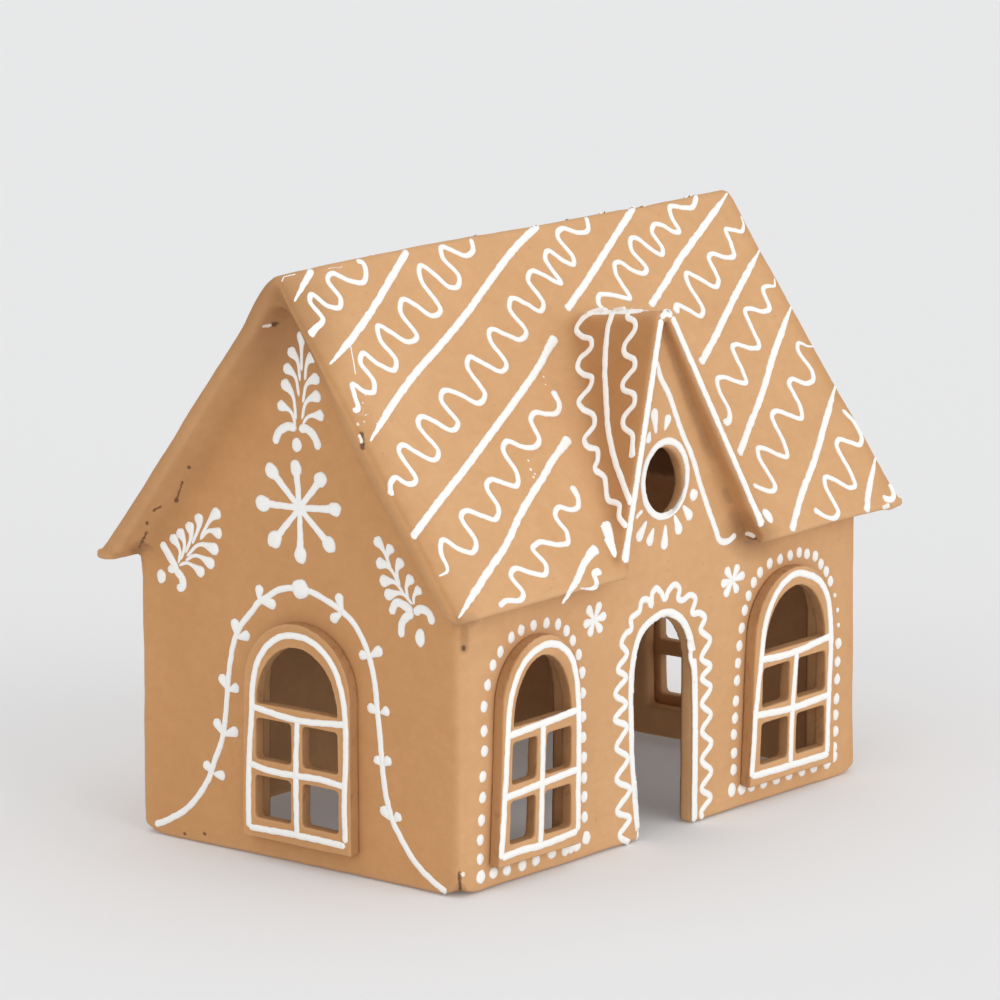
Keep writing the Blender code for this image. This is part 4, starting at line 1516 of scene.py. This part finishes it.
SPRIGS = (
    Sprig((0, 1),
          (((-8.3, 154), (-0.5, 147.5)), ((-6.4, 161.9), (-0.3, 149.5)),
           ((-5.5, 167), (1, 157.5)), ((-3.4, 172.9), (1.5, 162.5)), ((2.3, 179.4), (2.2, 166)),
           ((7.8, 172), (3.6, 163)), ((9.9, 165), (2.6, 155.5)), ((10.4, 159.2), (2.2, 150)),
           ((11.8, 152.6), (2.5, 148.3))),
          (((-9.6, 140.5), (-7.8, 144.6), (-4, 147), (0, 146.8)),
           ((9.4, 140.8), (7.6, 145), (4, 147.2), (1, 146.4))),
          (((0, 141.3), (2.2, 2.7)),)),
    Sprig((13, 22),
          (((-55.8, 104), (-52.6, 94.5)), ((-52.5, 106.5), (-51.4, 96)),
           ((-48, 109.5), (-49.4, 98.5)), ((-43.5, 113), (-46.4, 102)),
           ((-33.8, 115), (-42.8, 104.5)), ((-33, 107), (-43, 104)),
           ((-34.5, 101.3), (-49, 97.5)), ((-36.5, 96), (-49.5, 96)),
           ((-41, 92.5), (-52.5, 94))),
          (((-60, 101), (-57.4, 97.5), (-54.6, 94), (-53.6, 91)),
           ((-53.4, 86), (-51, 87), (-50.9, 89.6), (-54, 92.4)),
           ((-57, 91.2), (-55.6, 92.4), (-54, 92.8))),
          (((-60.3, 89.2), (2.1, 2.6)),)),
    Sprig((-12, 23),
          (((33, 115), (40, 105.5)), ((40.5, 113.5), (39.5, 105)), ((33.5, 107), (43.5, 100.5)),
           ((44.7, 109.5), (43.6, 100)), ((35, 101), (46, 97)), ((49, 104.5), (47.2, 96)),
           ((37, 96.5), (49, 95)), ((52.5, 101), (49.5, 95))),
          (((39.6, 90.6), (42, 94.6), (46, 94), (49, 92.4)),
           ((57.4, 89.6), (55.6, 93.2), (52, 94), (49.6, 92)),
           ((44, 83.4), (44.6, 88.6), (46.8, 91), (49.4, 92))),
          (((52, 84.5), (2.1, 3.2)),)))


@dataclass
class RoofPiping:
    """Slanting lines on the roof with wavy lines between them.

    Attributes:
        bars: Each straight line with its two tips.
        waves: Each wavy line with its two tips.
    """

    bars: tuple[tuple[Spots, Tip, Tip], ...]
    waves: tuple[tuple[Spots, Tip, Tip], ...]

    def pipe(self, pen: SlipPen, facet: Facet) -> None:
        """Pipe the straight lines, then the wavy ones, no farther than the slope's edges."""
        far = 114.4 if facet is FAR_SLOPE else 122.4

        def kept(spots: Spots) -> Spots:
            return tuple((min(across, far), min(up, 127.9)) for across, up in spots)
        for spots, start, end in self.bars:
            pen.line(facet, kept(spots), 2.7, 0.65, start, end, waver=1.3)
        for spots, start, end in self.waves:
            pen.line(facet, kept(spots), 2.1, 0.55, start, end)


FRONT_ROOF = RoofPiping(
    bars=(
        (((-115.6, 118.2), (-107, 123.5), (-100, 128.4)), Tip.FINE, Tip.ROUND),
        (((-115, 94.3), (-98, 102), (-80, 111.5), (-62, 122), (-52, 128.8)),
         Tip.FINE, Tip.ROUND),
        (((-115.6, 65.6), (-98, 75.5), (-80, 84.5), (-60, 93), (-40, 102), (-20, 112),
          (0, 121.5), (17, 129)), Tip.FINE, Tip.ROUND),
        (((-120.4, 30.4), (-100, 40), (-80, 49), (-60, 58.5), (-40, 68), (-20, 78), (-10, 84),
          (-4.5, 86.8)), Tip.ROUND, Tip.BULB),
        (((-119, 0.4), (-100, 10.5), (-80, 20.5), (-65, 30), (-50, 38), (-35, 46),
          (-24.4, 50.8)), Tip.FINE, Tip.BULB),
        (((-69.4, -4), (-58, 2), (-50, 7), (-43, 10.5), (-39.6, 11.2)), Tip.FINE, Tip.BULB),
        (((8, 95.5), (25, 104), (40, 112), (55, 120), (70, 128.4)), Tip.BLUNT, Tip.ROUND),
        (((50, 90.5), (60, 95.5), (80, 106), (100, 115.5), (122, 126)), Tip.ROUND, Tip.FINE),
        (((59, 66), (70, 72), (85, 81), (100, 90), (122, 102.4)), Tip.BLUNT, Tip.FINE),
        (((53, 30.5), (65, 39), (80, 49), (100, 64), (122, 79.2)), Tip.BLUNT, Tip.FINE),
        (((58, -0.5), (65, 5), (75, 12.5), (90, 22.5), (105, 34), (122, 46.8)),
         Tip.BLUNT, Tip.FINE),
        (((101, -1), (108, 6), (122, 17.8)), Tip.BLUNT, Tip.FINE),
    ),
    waves=(
        (((-117, 105.6), (-112.6, 107.6), (-107.2, 110), (-108.6, 117), (-106, 119.4),
          (-102, 114.5), (-97, 113), (-94.3, 116), (-95.6, 123), (-92, 125.2), (-86, 121.5),
          (-80, 120), (-76.5, 123), (-75.4, 126.8), (-78, 128.6)), Tip.BULB, Tip.ROUND),
        (((-116, 77), (-113, 77.5), (-111.5, 82), (-109.6, 86), (-106, 82.5), (-102, 82),
          (-99.5, 86), (-101, 92.5), (-97.5, 95.7), (-93.5, 91), (-88, 87.7), (-84.5, 91),
          (-86.6, 99), (-84, 104), (-80, 101), (-75, 96.4), (-69, 97.5), (-70.5, 107),
          (-66, 111.3), (-62, 108.5), (-57, 103.5), (-51.5, 105), (-53, 117),
          (-49.5, 121.8), (-45.5, 118), (-42, 112.5), (-38, 111.7), (-34.4, 115.5),
          (-37.2, 123), (-35, 126.8), (-31, 125), (-26, 122), (-21, 123.5), (-19, 128.4)),
         Tip.ROUND, Tip.ROUND),
        (((-119.4, 45.9), (-117, 49.8), (-113, 51.5), (-109, 48.3), (-104.6, 49.4),
          (-105.4, 60), (-102, 61.8), (-98, 58.5), (-92, 54.3), (-87.7, 57), (-90.4, 67),
          (-87, 70), (-82, 67), (-77, 63), (-72, 64.8), (-73.8, 74), (-70, 77),
          (-64, 74.4), (-58, 70), (-52.5, 72.5), (-53.6, 83), (-50, 86.5), (-45, 83),
          (-39, 79), (-34.7, 81.5), (-36.2, 91), (-33, 94.5), (-28, 92), (-22, 88.7),
          (-17, 91), (-19, 100), (-15, 103.8), (-10, 101), (-5, 97), (-1.2, 100),
          (-2.6, 109), (2, 112), (6, 109.8), (12.5, 105.4), (11.4, 115), (15, 118),
          (20, 113), (23.6, 111.4), (25.3, 114), (23.4, 122.6), (28, 125), (34, 122.5),
          (40, 122.4), (43, 127.6)), Tip.BEAD, Tip.ROUND),
        (((-117.6, 15.8), (-112.4, 17), (-111, 23.5), (-107, 27.3), (-102.5, 23),
          (-97, 20.7), (-93, 24), (-93.8, 33), (-90, 35), (-84, 32), (-79, 29.7),
          (-74.7, 33), (-75, 41), (-71, 43.3), (-66, 41), (-61, 39), (-57.7, 43),
          (-58.2, 52), (-54, 54.8), (-49, 52), (-43, 50.6), (-38.7, 53), (-37.8, 60),
          (-34, 62.3), (-29, 61), (-24, 60.5), (-20.4, 63), (-19.7, 68.6)),
         Tip.FINE, Tip.BULB),
        (((-98.3, 0.7), (-94, 2), (-87.4, 1), (-84.4, 3), (-85.8, 9.5), (-82, 11.8),
          (-76, 9), (-70, 7.2), (-67.3, 10.5), (-69.3, 16.6), (-64, 18.3), (-58, 16.2),
          (-52, 15.7), (-49.7, 19), (-50.8, 25.6), (-47, 28.3), (-42, 26.4), (-38.2, 26.7),
          (-35.7, 30), (-35.6, 34.6)), Tip.ROUND, Tip.BULB),
        (((-57.5, -0.5), (-53, -1.5), (-50, -1.3), (-48.5, 0), (-47.5, 3), (-43.6, 3.5)),
         Tip.FINE, Tip.BULB),
        (((27, 92), (25.2, 95), (27.8, 98.2), (32, 98), (37, 96.5), (42.3, 94.9),
          (41.8, 104), (44, 108.3), (47, 108.7), (51, 104.8), (56, 102.7), (58.7, 104.5),
          (56.3, 112), (59, 116.2), (62, 116.2), (66, 111.4), (70, 108.2), (72.3, 110.5),
          (71.7, 117), (75, 119.8), (79, 118.8), (82.3, 115.8), (85.6, 115.4), (86, 122),
          (88.4, 125.2), (94, 124), (99, 123.2), (103, 125.5), (105, 128.2)),
         Tip.ROUND, Tip.ROUND),
        (((61, 86), (64, 88.7), (68, 86.2), (72, 83), (75.6, 85), (75.4, 96), (77.6, 99.6),
          (82, 97), (88, 92.4), (91.8, 94.4), (93.3, 103.5), (96, 104.7), (102, 102.3),
          (106.7, 102.3), (108.8, 107), (110.2, 112.4), (114, 111.8), (118, 110.7),
          (121, 113), (122, 116.6)), Tip.BULB, Tip.FINE),
        (((54, 43), (57, 43.3), (60, 46.2), (61, 55), (63.2, 59), (67, 59.3), (73, 56.2),
          (76.7, 55.5), (78.3, 60), (79.8, 69.4), (83, 69.8), (89, 67.3), (93.7, 67.4),
          (95, 73), (96.7, 81.4), (100, 81.8), (105, 79.8), (109.7, 80), (112.3, 87.8),
          (116, 88.5), (119, 88), (121.5, 91)), Tip.BULB, Tip.FINE),
        (((51.5, 19), (55, 16.7), (59.7, 15), (62.2, 16.6), (62.2, 28), (64.3, 31.2),
          (68, 30.3), (73, 26.9), (76.7, 25.9), (78.8, 31), (80.3, 41.4), (84, 42.8),
          (90, 39.8), (94.7, 38), (97.3, 42), (98.3, 51.4), (101, 52.8), (107, 50),
          (111.5, 50.6), (113.8, 54), (112.4, 62.4), (115, 65.2), (119, 63.3),
          (122, 62.6)), Tip.ROUND, Tip.FINE),
        (((75, 5), (79, 1.3), (83, 0), (86.6, 1.8), (87.6, 12), (90, 15.1), (94, 13.4),
          (99, 9.3), (102.7, 9.3), (104.3, 15), (104.8, 25), (108, 27.2), (112, 25.5),
          (117, 23.4), (120.2, 26), (120.3, 33), (118, 37.5)), Tip.BEAD, Tip.ROUND),
        (((113.4, 2.4), (118, 1.2), (120.3, 3), (121, 7)), Tip.BULB, Tip.ROUND),
    ))


@dataclass
class Spatter:
    """Slip that fell beside its lines: drops, thin runs, dabs on the ridge and tiny specks.

    Attributes:
        drops: Round drops, each with its two radii.
        runs: Thin runs.
        dabs: Short strokes.
        specks: Tiny specks, each with its radius.
    """

    drops: tuple[tuple[Spot, Spot], ...] = ()
    runs: tuple[Spots, ...] = ()
    dabs: tuple[Spots, ...] = ()
    specks: tuple[tuple[float, float, float], ...] = ()

    def pipe(self, pen: SlipPen, facet: Facet) -> None:
        """Let them fall on a facet."""
        for spot, radii in self.drops:
            pen.dot(facet, spot, radii)
        for run in self.runs:
            pen.line(facet, run, 0.5, 0.12)
        for dab in self.dabs:
            pen.line(facet, dab, 2.0, 0.45, Tip.FINE, Tip.FINE, waver=2.2)
        for across, up, radius in self.specks:
            pen.dot(facet, (across, up), radius, 0.15)


SPATTER = Spatter(
    (((50.5, 7), (2.3, 3.1)),),
    (((-101, 99.5), (-102.6, 96), (-104.2, 92.4), (-106, 89)),),
    (((-116.4, 125.9), (-114.4, 127.3), (-111.6, 127.5), (-108.2, 127.5)),
     ((-92.6, 127.3), (-89.2, 127.1), (-86.6, 126.6), (-85.4, 127.3)),
     ((-111.8, 79.6), (-110.6, 77.0), (-112.4, 75.2)),
     ((-114.6, 75.4), (-111.4, 74.6), (-109.2, 75.0))),
    ((-49, 46.6, 0.45), (-50.2, 43.4, 0.6), (-49.4, 41.6, 0.4), (-50.8, 40.6, 0.5),
     (-51.2, 38.4, 0.35), (-106.5, 81.5, 0.3), (-109.5, 79.0, 0.35), (-111.0, 74.8, 0.3),
     (-113.4, 72.6, 0.35), (-108.4, 71.0, 0.25), (-20.4, 74.0, 0.4), (-21.6, 71.2, 0.3)))


@dataclass
class DormerPiping:
    """Lines on the dormer: its rims and ridge, the wall under them and both slopes."""

    crest: Spots = ((1.9, 175.2), (3.2, 176.4), (4.8, 176.7), (6.4, 176.4), (7.7, 175.2))
    ridge_line: Spots = ((8, 0.3), (16, 0.2), (25, 0.3), (34, 0.2))
    inner: Spots = ((-5.4, 163), (-3, 157), (2, 149.8), (8, 138), (14.6, 127), (19, 117),
                    (24, 107), (27.6, 100), (29.6, 96.4), (33, 95), (36, 95.4), (39, 96.6))
    slope_bar: Spots = ((15.6, 1), (21, 0.3), (22.4, -4), (22, -10), (20.2, -19.5),
                        (16.6, -31), (12.6, -42), (7, -51.8), (1, -60), (-4, -66.6))
    near_wave: Spots = ((13.9, 1.2), (14.4, -1.4), (10.4, -3.6), (9.7, -6.3), (13.2, -11.4),
                        (12.4, -14.4), (7.4, -16.6), (6.6, -19.3), (10.4, -24.2),
                        (9.9, -26.6), (4.3, -28.8), (3.4, -31.8), (7.1, -36.5),
                        (6.5, -39.5), (1.5, -42.8), (0.5, -46.9), (-0.2, -50.6))
    far_wave: Spots = ((24.9, 1.1), (31.2, 0.5), (35.8, -2.1), (37.2, -5.6), (33.8, -8),
                       (29.4, -9.2), (28.6, -11.8), (33, -16), (33, -19.2), (29.7, -21.3),
                       (25.4, -22.6), (25.8, -25.9), (29.6, -30.6), (27.2, -33.2),
                       (21.4, -35.7), (20.2, -38.9), (23.6, -43.8), (21.5, -46.3),
                       (16.4, -47.8), (15.5, -51), (16, -54), (10.9, -57), (9.3, -60.2),
                       (7.3, -64.6), (1.6, -66.6), (0.5, -70.6), (-4, -74.2))
    drop: tuple[Spot, Spot] = ((7.4, -72.4), (-1.4, -84.4))

    def pipe_front(self, pen: SlipPen) -> None:
        """Pipe the rims, the line under them and the ring with its petals."""
        for side, width in ((-1, 2.7), (1, 2.6)):
            pen.line(DORMER_RIM, rim_spots(side), width, 0.65, Tip.BULB)
        pen.line(DORMER_RIM, self.crest, 2.8, 0.65)
        pen.line(DORMER_WALL, wall_spots(self.inner), 2.5, 0.6)
        ring = [(-0.3 + 12.1 * math.sin(t * math.tau / 24),
                 30 + 12.7 * math.cos(t * math.tau / 24)) for t in range(-1, 25)]
        pen.line(DORMER_WALL, ring, 2.6, 0.65)
        petals = (((-10.4, 135.6), (-8.4, 139.4)), ((-6.6, 147), (-5.2, 138)),
                  ((2, 143.6), (-0.6, 138.4)), ((-15.6, 103.2), (-10.2, 109.4)),
                  ((-9.6, 100.6), (-6.4, 106.4)), ((-0.9, 97.8), (0, 106.4)),
                  ((8, 101.8), (4.8, 109)), ((14.2, 106), (9.4, 111.4)))
        for tip, root in petals:
            ends = wall_spots((tip, root))
            pen.leaf(DORMER_WALL, ends[0], ends[1], 4.3, shape=drop_shape)
        pen.line(DORMER_WALL, wall_spots(((-16.4, 111.2), (-12.4, 113.2))), 1.6, 0.4)
        pen.dot(DORMER_WALL, wall_spots(((15.5, 114),))[0], 2.3, 0.7)

    def pipe_slope(self, pen: SlipPen, side: int) -> None:
        """Pipe one slope, from the left one's sizes."""
        facet = PLAN.dormer_slope(side)

        nearest = 6.5 if side > 0 else -9.0

        def laid(spots: Spots) -> Spots:
            return tuple((side * max(back, nearest), up) for back, up in spots)
        pen.line(facet, laid(self.ridge_line), 1.6, 0.45)
        pen.line(facet, laid(self.slope_bar), 2.4, 0.55)
        pen.line(facet, laid(self.near_wave), 2.2, 0.5, end=Tip.BEAD)
        pen.line(facet, laid(self.far_wave), 2.2, 0.5)
        tip, root = laid(self.drop)
        pen.leaf(facet, tip, root, 5.4, shape=drop_shape)


def rim_spots(side: int) -> Spots:
    """Spots up the middle of the dormer's left (-1) or right (1) rim, from its foot."""
    heights = [*range(100, 171, 7), 175.2]
    places = [(PLAN.rim_point(side, height), height) for height in heights]
    return tuple((place.x / MM - PLAN.wall_middle - side * 1.6, height)
                 for place, height in places)


def wall_spots(spots: Spots) -> Spots:
    """Spots on the dormer's wall from ones whose heights start at the ground."""
    return tuple((x, z - PLAN.dormer_wall_foot) for x, z in spots)


# ---------------------------------------------------------------- the house

@dataclass
class House:
    """The clay pieces and the slip on them."""

    palette: Palette
    clay: ClayFinish = ClayFinish("gingerbread_clay", marked=True)
    panel_clay: ClayFinish = ClayFinish("gingerbread_panel_clay",
                                        brush_stretch=(0.5, 0.5, 0.16))
    slip: SlipFinish = SlipFinish("white_slip")

    def build_clay(self) -> Skin:
        """Build the shell and the four window panels."""
        shell = ClayPart("house_skin", "house_shell", 1.1 * MM, 4, 0.42, 0.16 * MM, 1.0 * MM)
        shell.build()
        pieces = [shell.dress(self.clay.material(self.palette))]
        panel_material = self.panel_clay.material(self.palette)
        for name in ("front_left", "front_right", "gable_left", "gable_right"):
            panel = ClayPart("panel_" + name, "window_" + name, 0.5 * MM, 3, 0.5, 0.13 * MM)
            panel.build()
            pieces.append(panel.dress(panel_material))
        return Skin(pieces)

    def build_slip(self, skin: Skin) -> None:
        """Pipe the ornament of every face."""
        material = self.slip.material(self.palette)

        pen = SlipPen("slip_front_wall", skin, 1.0)
        DoorPiping().pipe(pen)
        for part in (LEFT_BORDER, RIGHT_BORDER) + ASTERISKS:
            part.pipe(pen)
        pen.lift(material)

        windows = {"slip_window_front_left": FRONT_LEFT_LINES,
                   "slip_window_front_right": FRONT_RIGHT_LINES,
                   "slip_window_gable_left": GABLE_LINES,
                   "slip_window_gable_right": GABLE_LINES.shifted(FAR_GABLE_PANEL, -3.6)}
        for index, (name, lines) in enumerate(windows.items()):
            pen = SlipPen(name, skin, 2.0 + index)
            lines.pipe(pen)
            pen.lift(material)

        for name, facet in (("slip_gable_left", GABLE), ("slip_gable_right", FAR_GABLE)):
            pen = SlipPen(name, skin, 7.0)
            Vine().pipe(pen, facet)
            Snowflake().pipe(pen, facet)
            for sprig in SPRIGS:
                sprig.pipe(pen, facet)
            pen.lift(material)

        for name, facet in (("slip_roof_front", SLOPE), ("slip_roof_rear", FAR_SLOPE)):
            pen = SlipPen(name, skin, 9.0)
            FRONT_ROOF.pipe(pen, facet)
            if facet is SLOPE:
                SPATTER.pipe(pen, facet)
            pen.lift(material)

        pen = SlipPen("slip_dormer", skin, 11.0)
        dormer = DormerPiping()
        dormer.pipe_front(pen)
        for side in (-1, 1):
            dormer.pipe_slope(pen, side)
        pen.lift(material)


@dataclass
class Studio:
    """Plain pale floor, soft light and the camera.

    Attributes:
        azimuth, elevation: The camera's angles in degrees.
        distance: How far it stands from the point that it looks at.
        aim: The point that it looks at.
        offset: How far that point is moved right and up in the view.
        lens: Its focal length in millimetres.
    """

    azimuth: float = -50.86
    elevation: float = 11.71
    distance: float = 2.06676
    aim: tuple[float, float, float] = (-0.002, 0.0, 0.1)
    offset: Spot = (-0.00184, 0.00563)
    lens: float = 218.713
    floor_size: float = 14.0

    def build(self) -> None:
        """Lay the floor, light it and set the camera."""
        bpy.context.scene.view_settings.view_transform = "Standard"
        self._floor()
        self._light()
        self._camera()

    def _floor(self) -> None:
        """A wide plane on the ground."""
        half = self.floor_size / 2
        mesh = bpy.data.meshes.new("floor")
        corners = [(-half, -half, 0), (half, -half, 0), (half, half, 0), (-half, half, 0)]
        mesh.from_pydata(corners, [], [(0, 1, 2, 3)])
        mesh.materials.append(FloorFinish().material())
        floor = bpy.data.objects.new("floor", mesh)
        bpy.context.scene.collection.objects.link(floor)

    def _light(self) -> None:
        """An even sky and three broad soft lamps: in front, at the gable and above."""
        world = bpy.data.worlds.new("studio")
        bpy.context.scene.world = world
        world.use_nodes = True
        sky = world.node_tree.nodes["Background"]
        sky.inputs["Color"].default_value = (1.0, 1.0, 1.0, 1.0)
        sky.inputs["Strength"].default_value = 0.62
        self._sun("front", Vector((0.05, -0.95, 0.30)), 1.15, 60)
        self._sun("gable", Vector((-0.95, -0.20, 0.20)), 0.72, 60)
        self._sun("top", Vector((0.0, 0.0, 1.0)), 0.5, 90)

    def _sun(self, name: str, source: Vector, strength: float, spread: float) -> None:
        """A sun lamp.

        Args:
            name: Its name.
            source: Way towards it.
            strength: Its strength.
            spread: The angle that it fills in the sky, in degrees.
        """
        lamp = bpy.data.lights.new(name, "SUN")
        lamp.energy = strength
        lamp.angle = math.radians(spread)
        item = bpy.data.objects.new(name, lamp)
        item.rotation_mode = "QUATERNION"
        item.rotation_quaternion = source.to_track_quat("Z", "Y")
        bpy.context.scene.collection.objects.link(item)

    def _camera(self) -> None:
        """The camera, level and with no depth of field."""
        turn, tilt = math.radians(self.azimuth), math.radians(self.elevation)
        back = Vector((math.sin(turn) * math.cos(tilt), -math.cos(turn) * math.cos(tilt),
                       math.sin(tilt)))
        right = Vector((math.cos(turn), math.sin(turn), 0))
        up = back.cross(right)
        lens = bpy.data.cameras.new("camera")
        lens.lens = self.lens
        lens.sensor_width = 36
        lens.clip_end = 50
        camera = bpy.data.objects.new("camera", lens)
        place = Matrix((right, up, back)).transposed().to_4x4()
        place.translation = (Vector(self.aim) + right * self.offset[0] + up * self.offset[1]
                             + back * self.distance)
        camera.matrix_world = place
        bpy.context.scene.collection.objects.link(camera)
        bpy.context.scene.camera = camera


def main() -> None:
    """Build the house's pieces in order, then the studio."""
    logging.basicConfig(level=logging.INFO, format="%(name)s %(message)s")
    house = House(Palette.mixed())
    skin = house.build_clay()
    house.build_slip(skin)
    Studio().build()


if __name__ == "__main__":
    main()
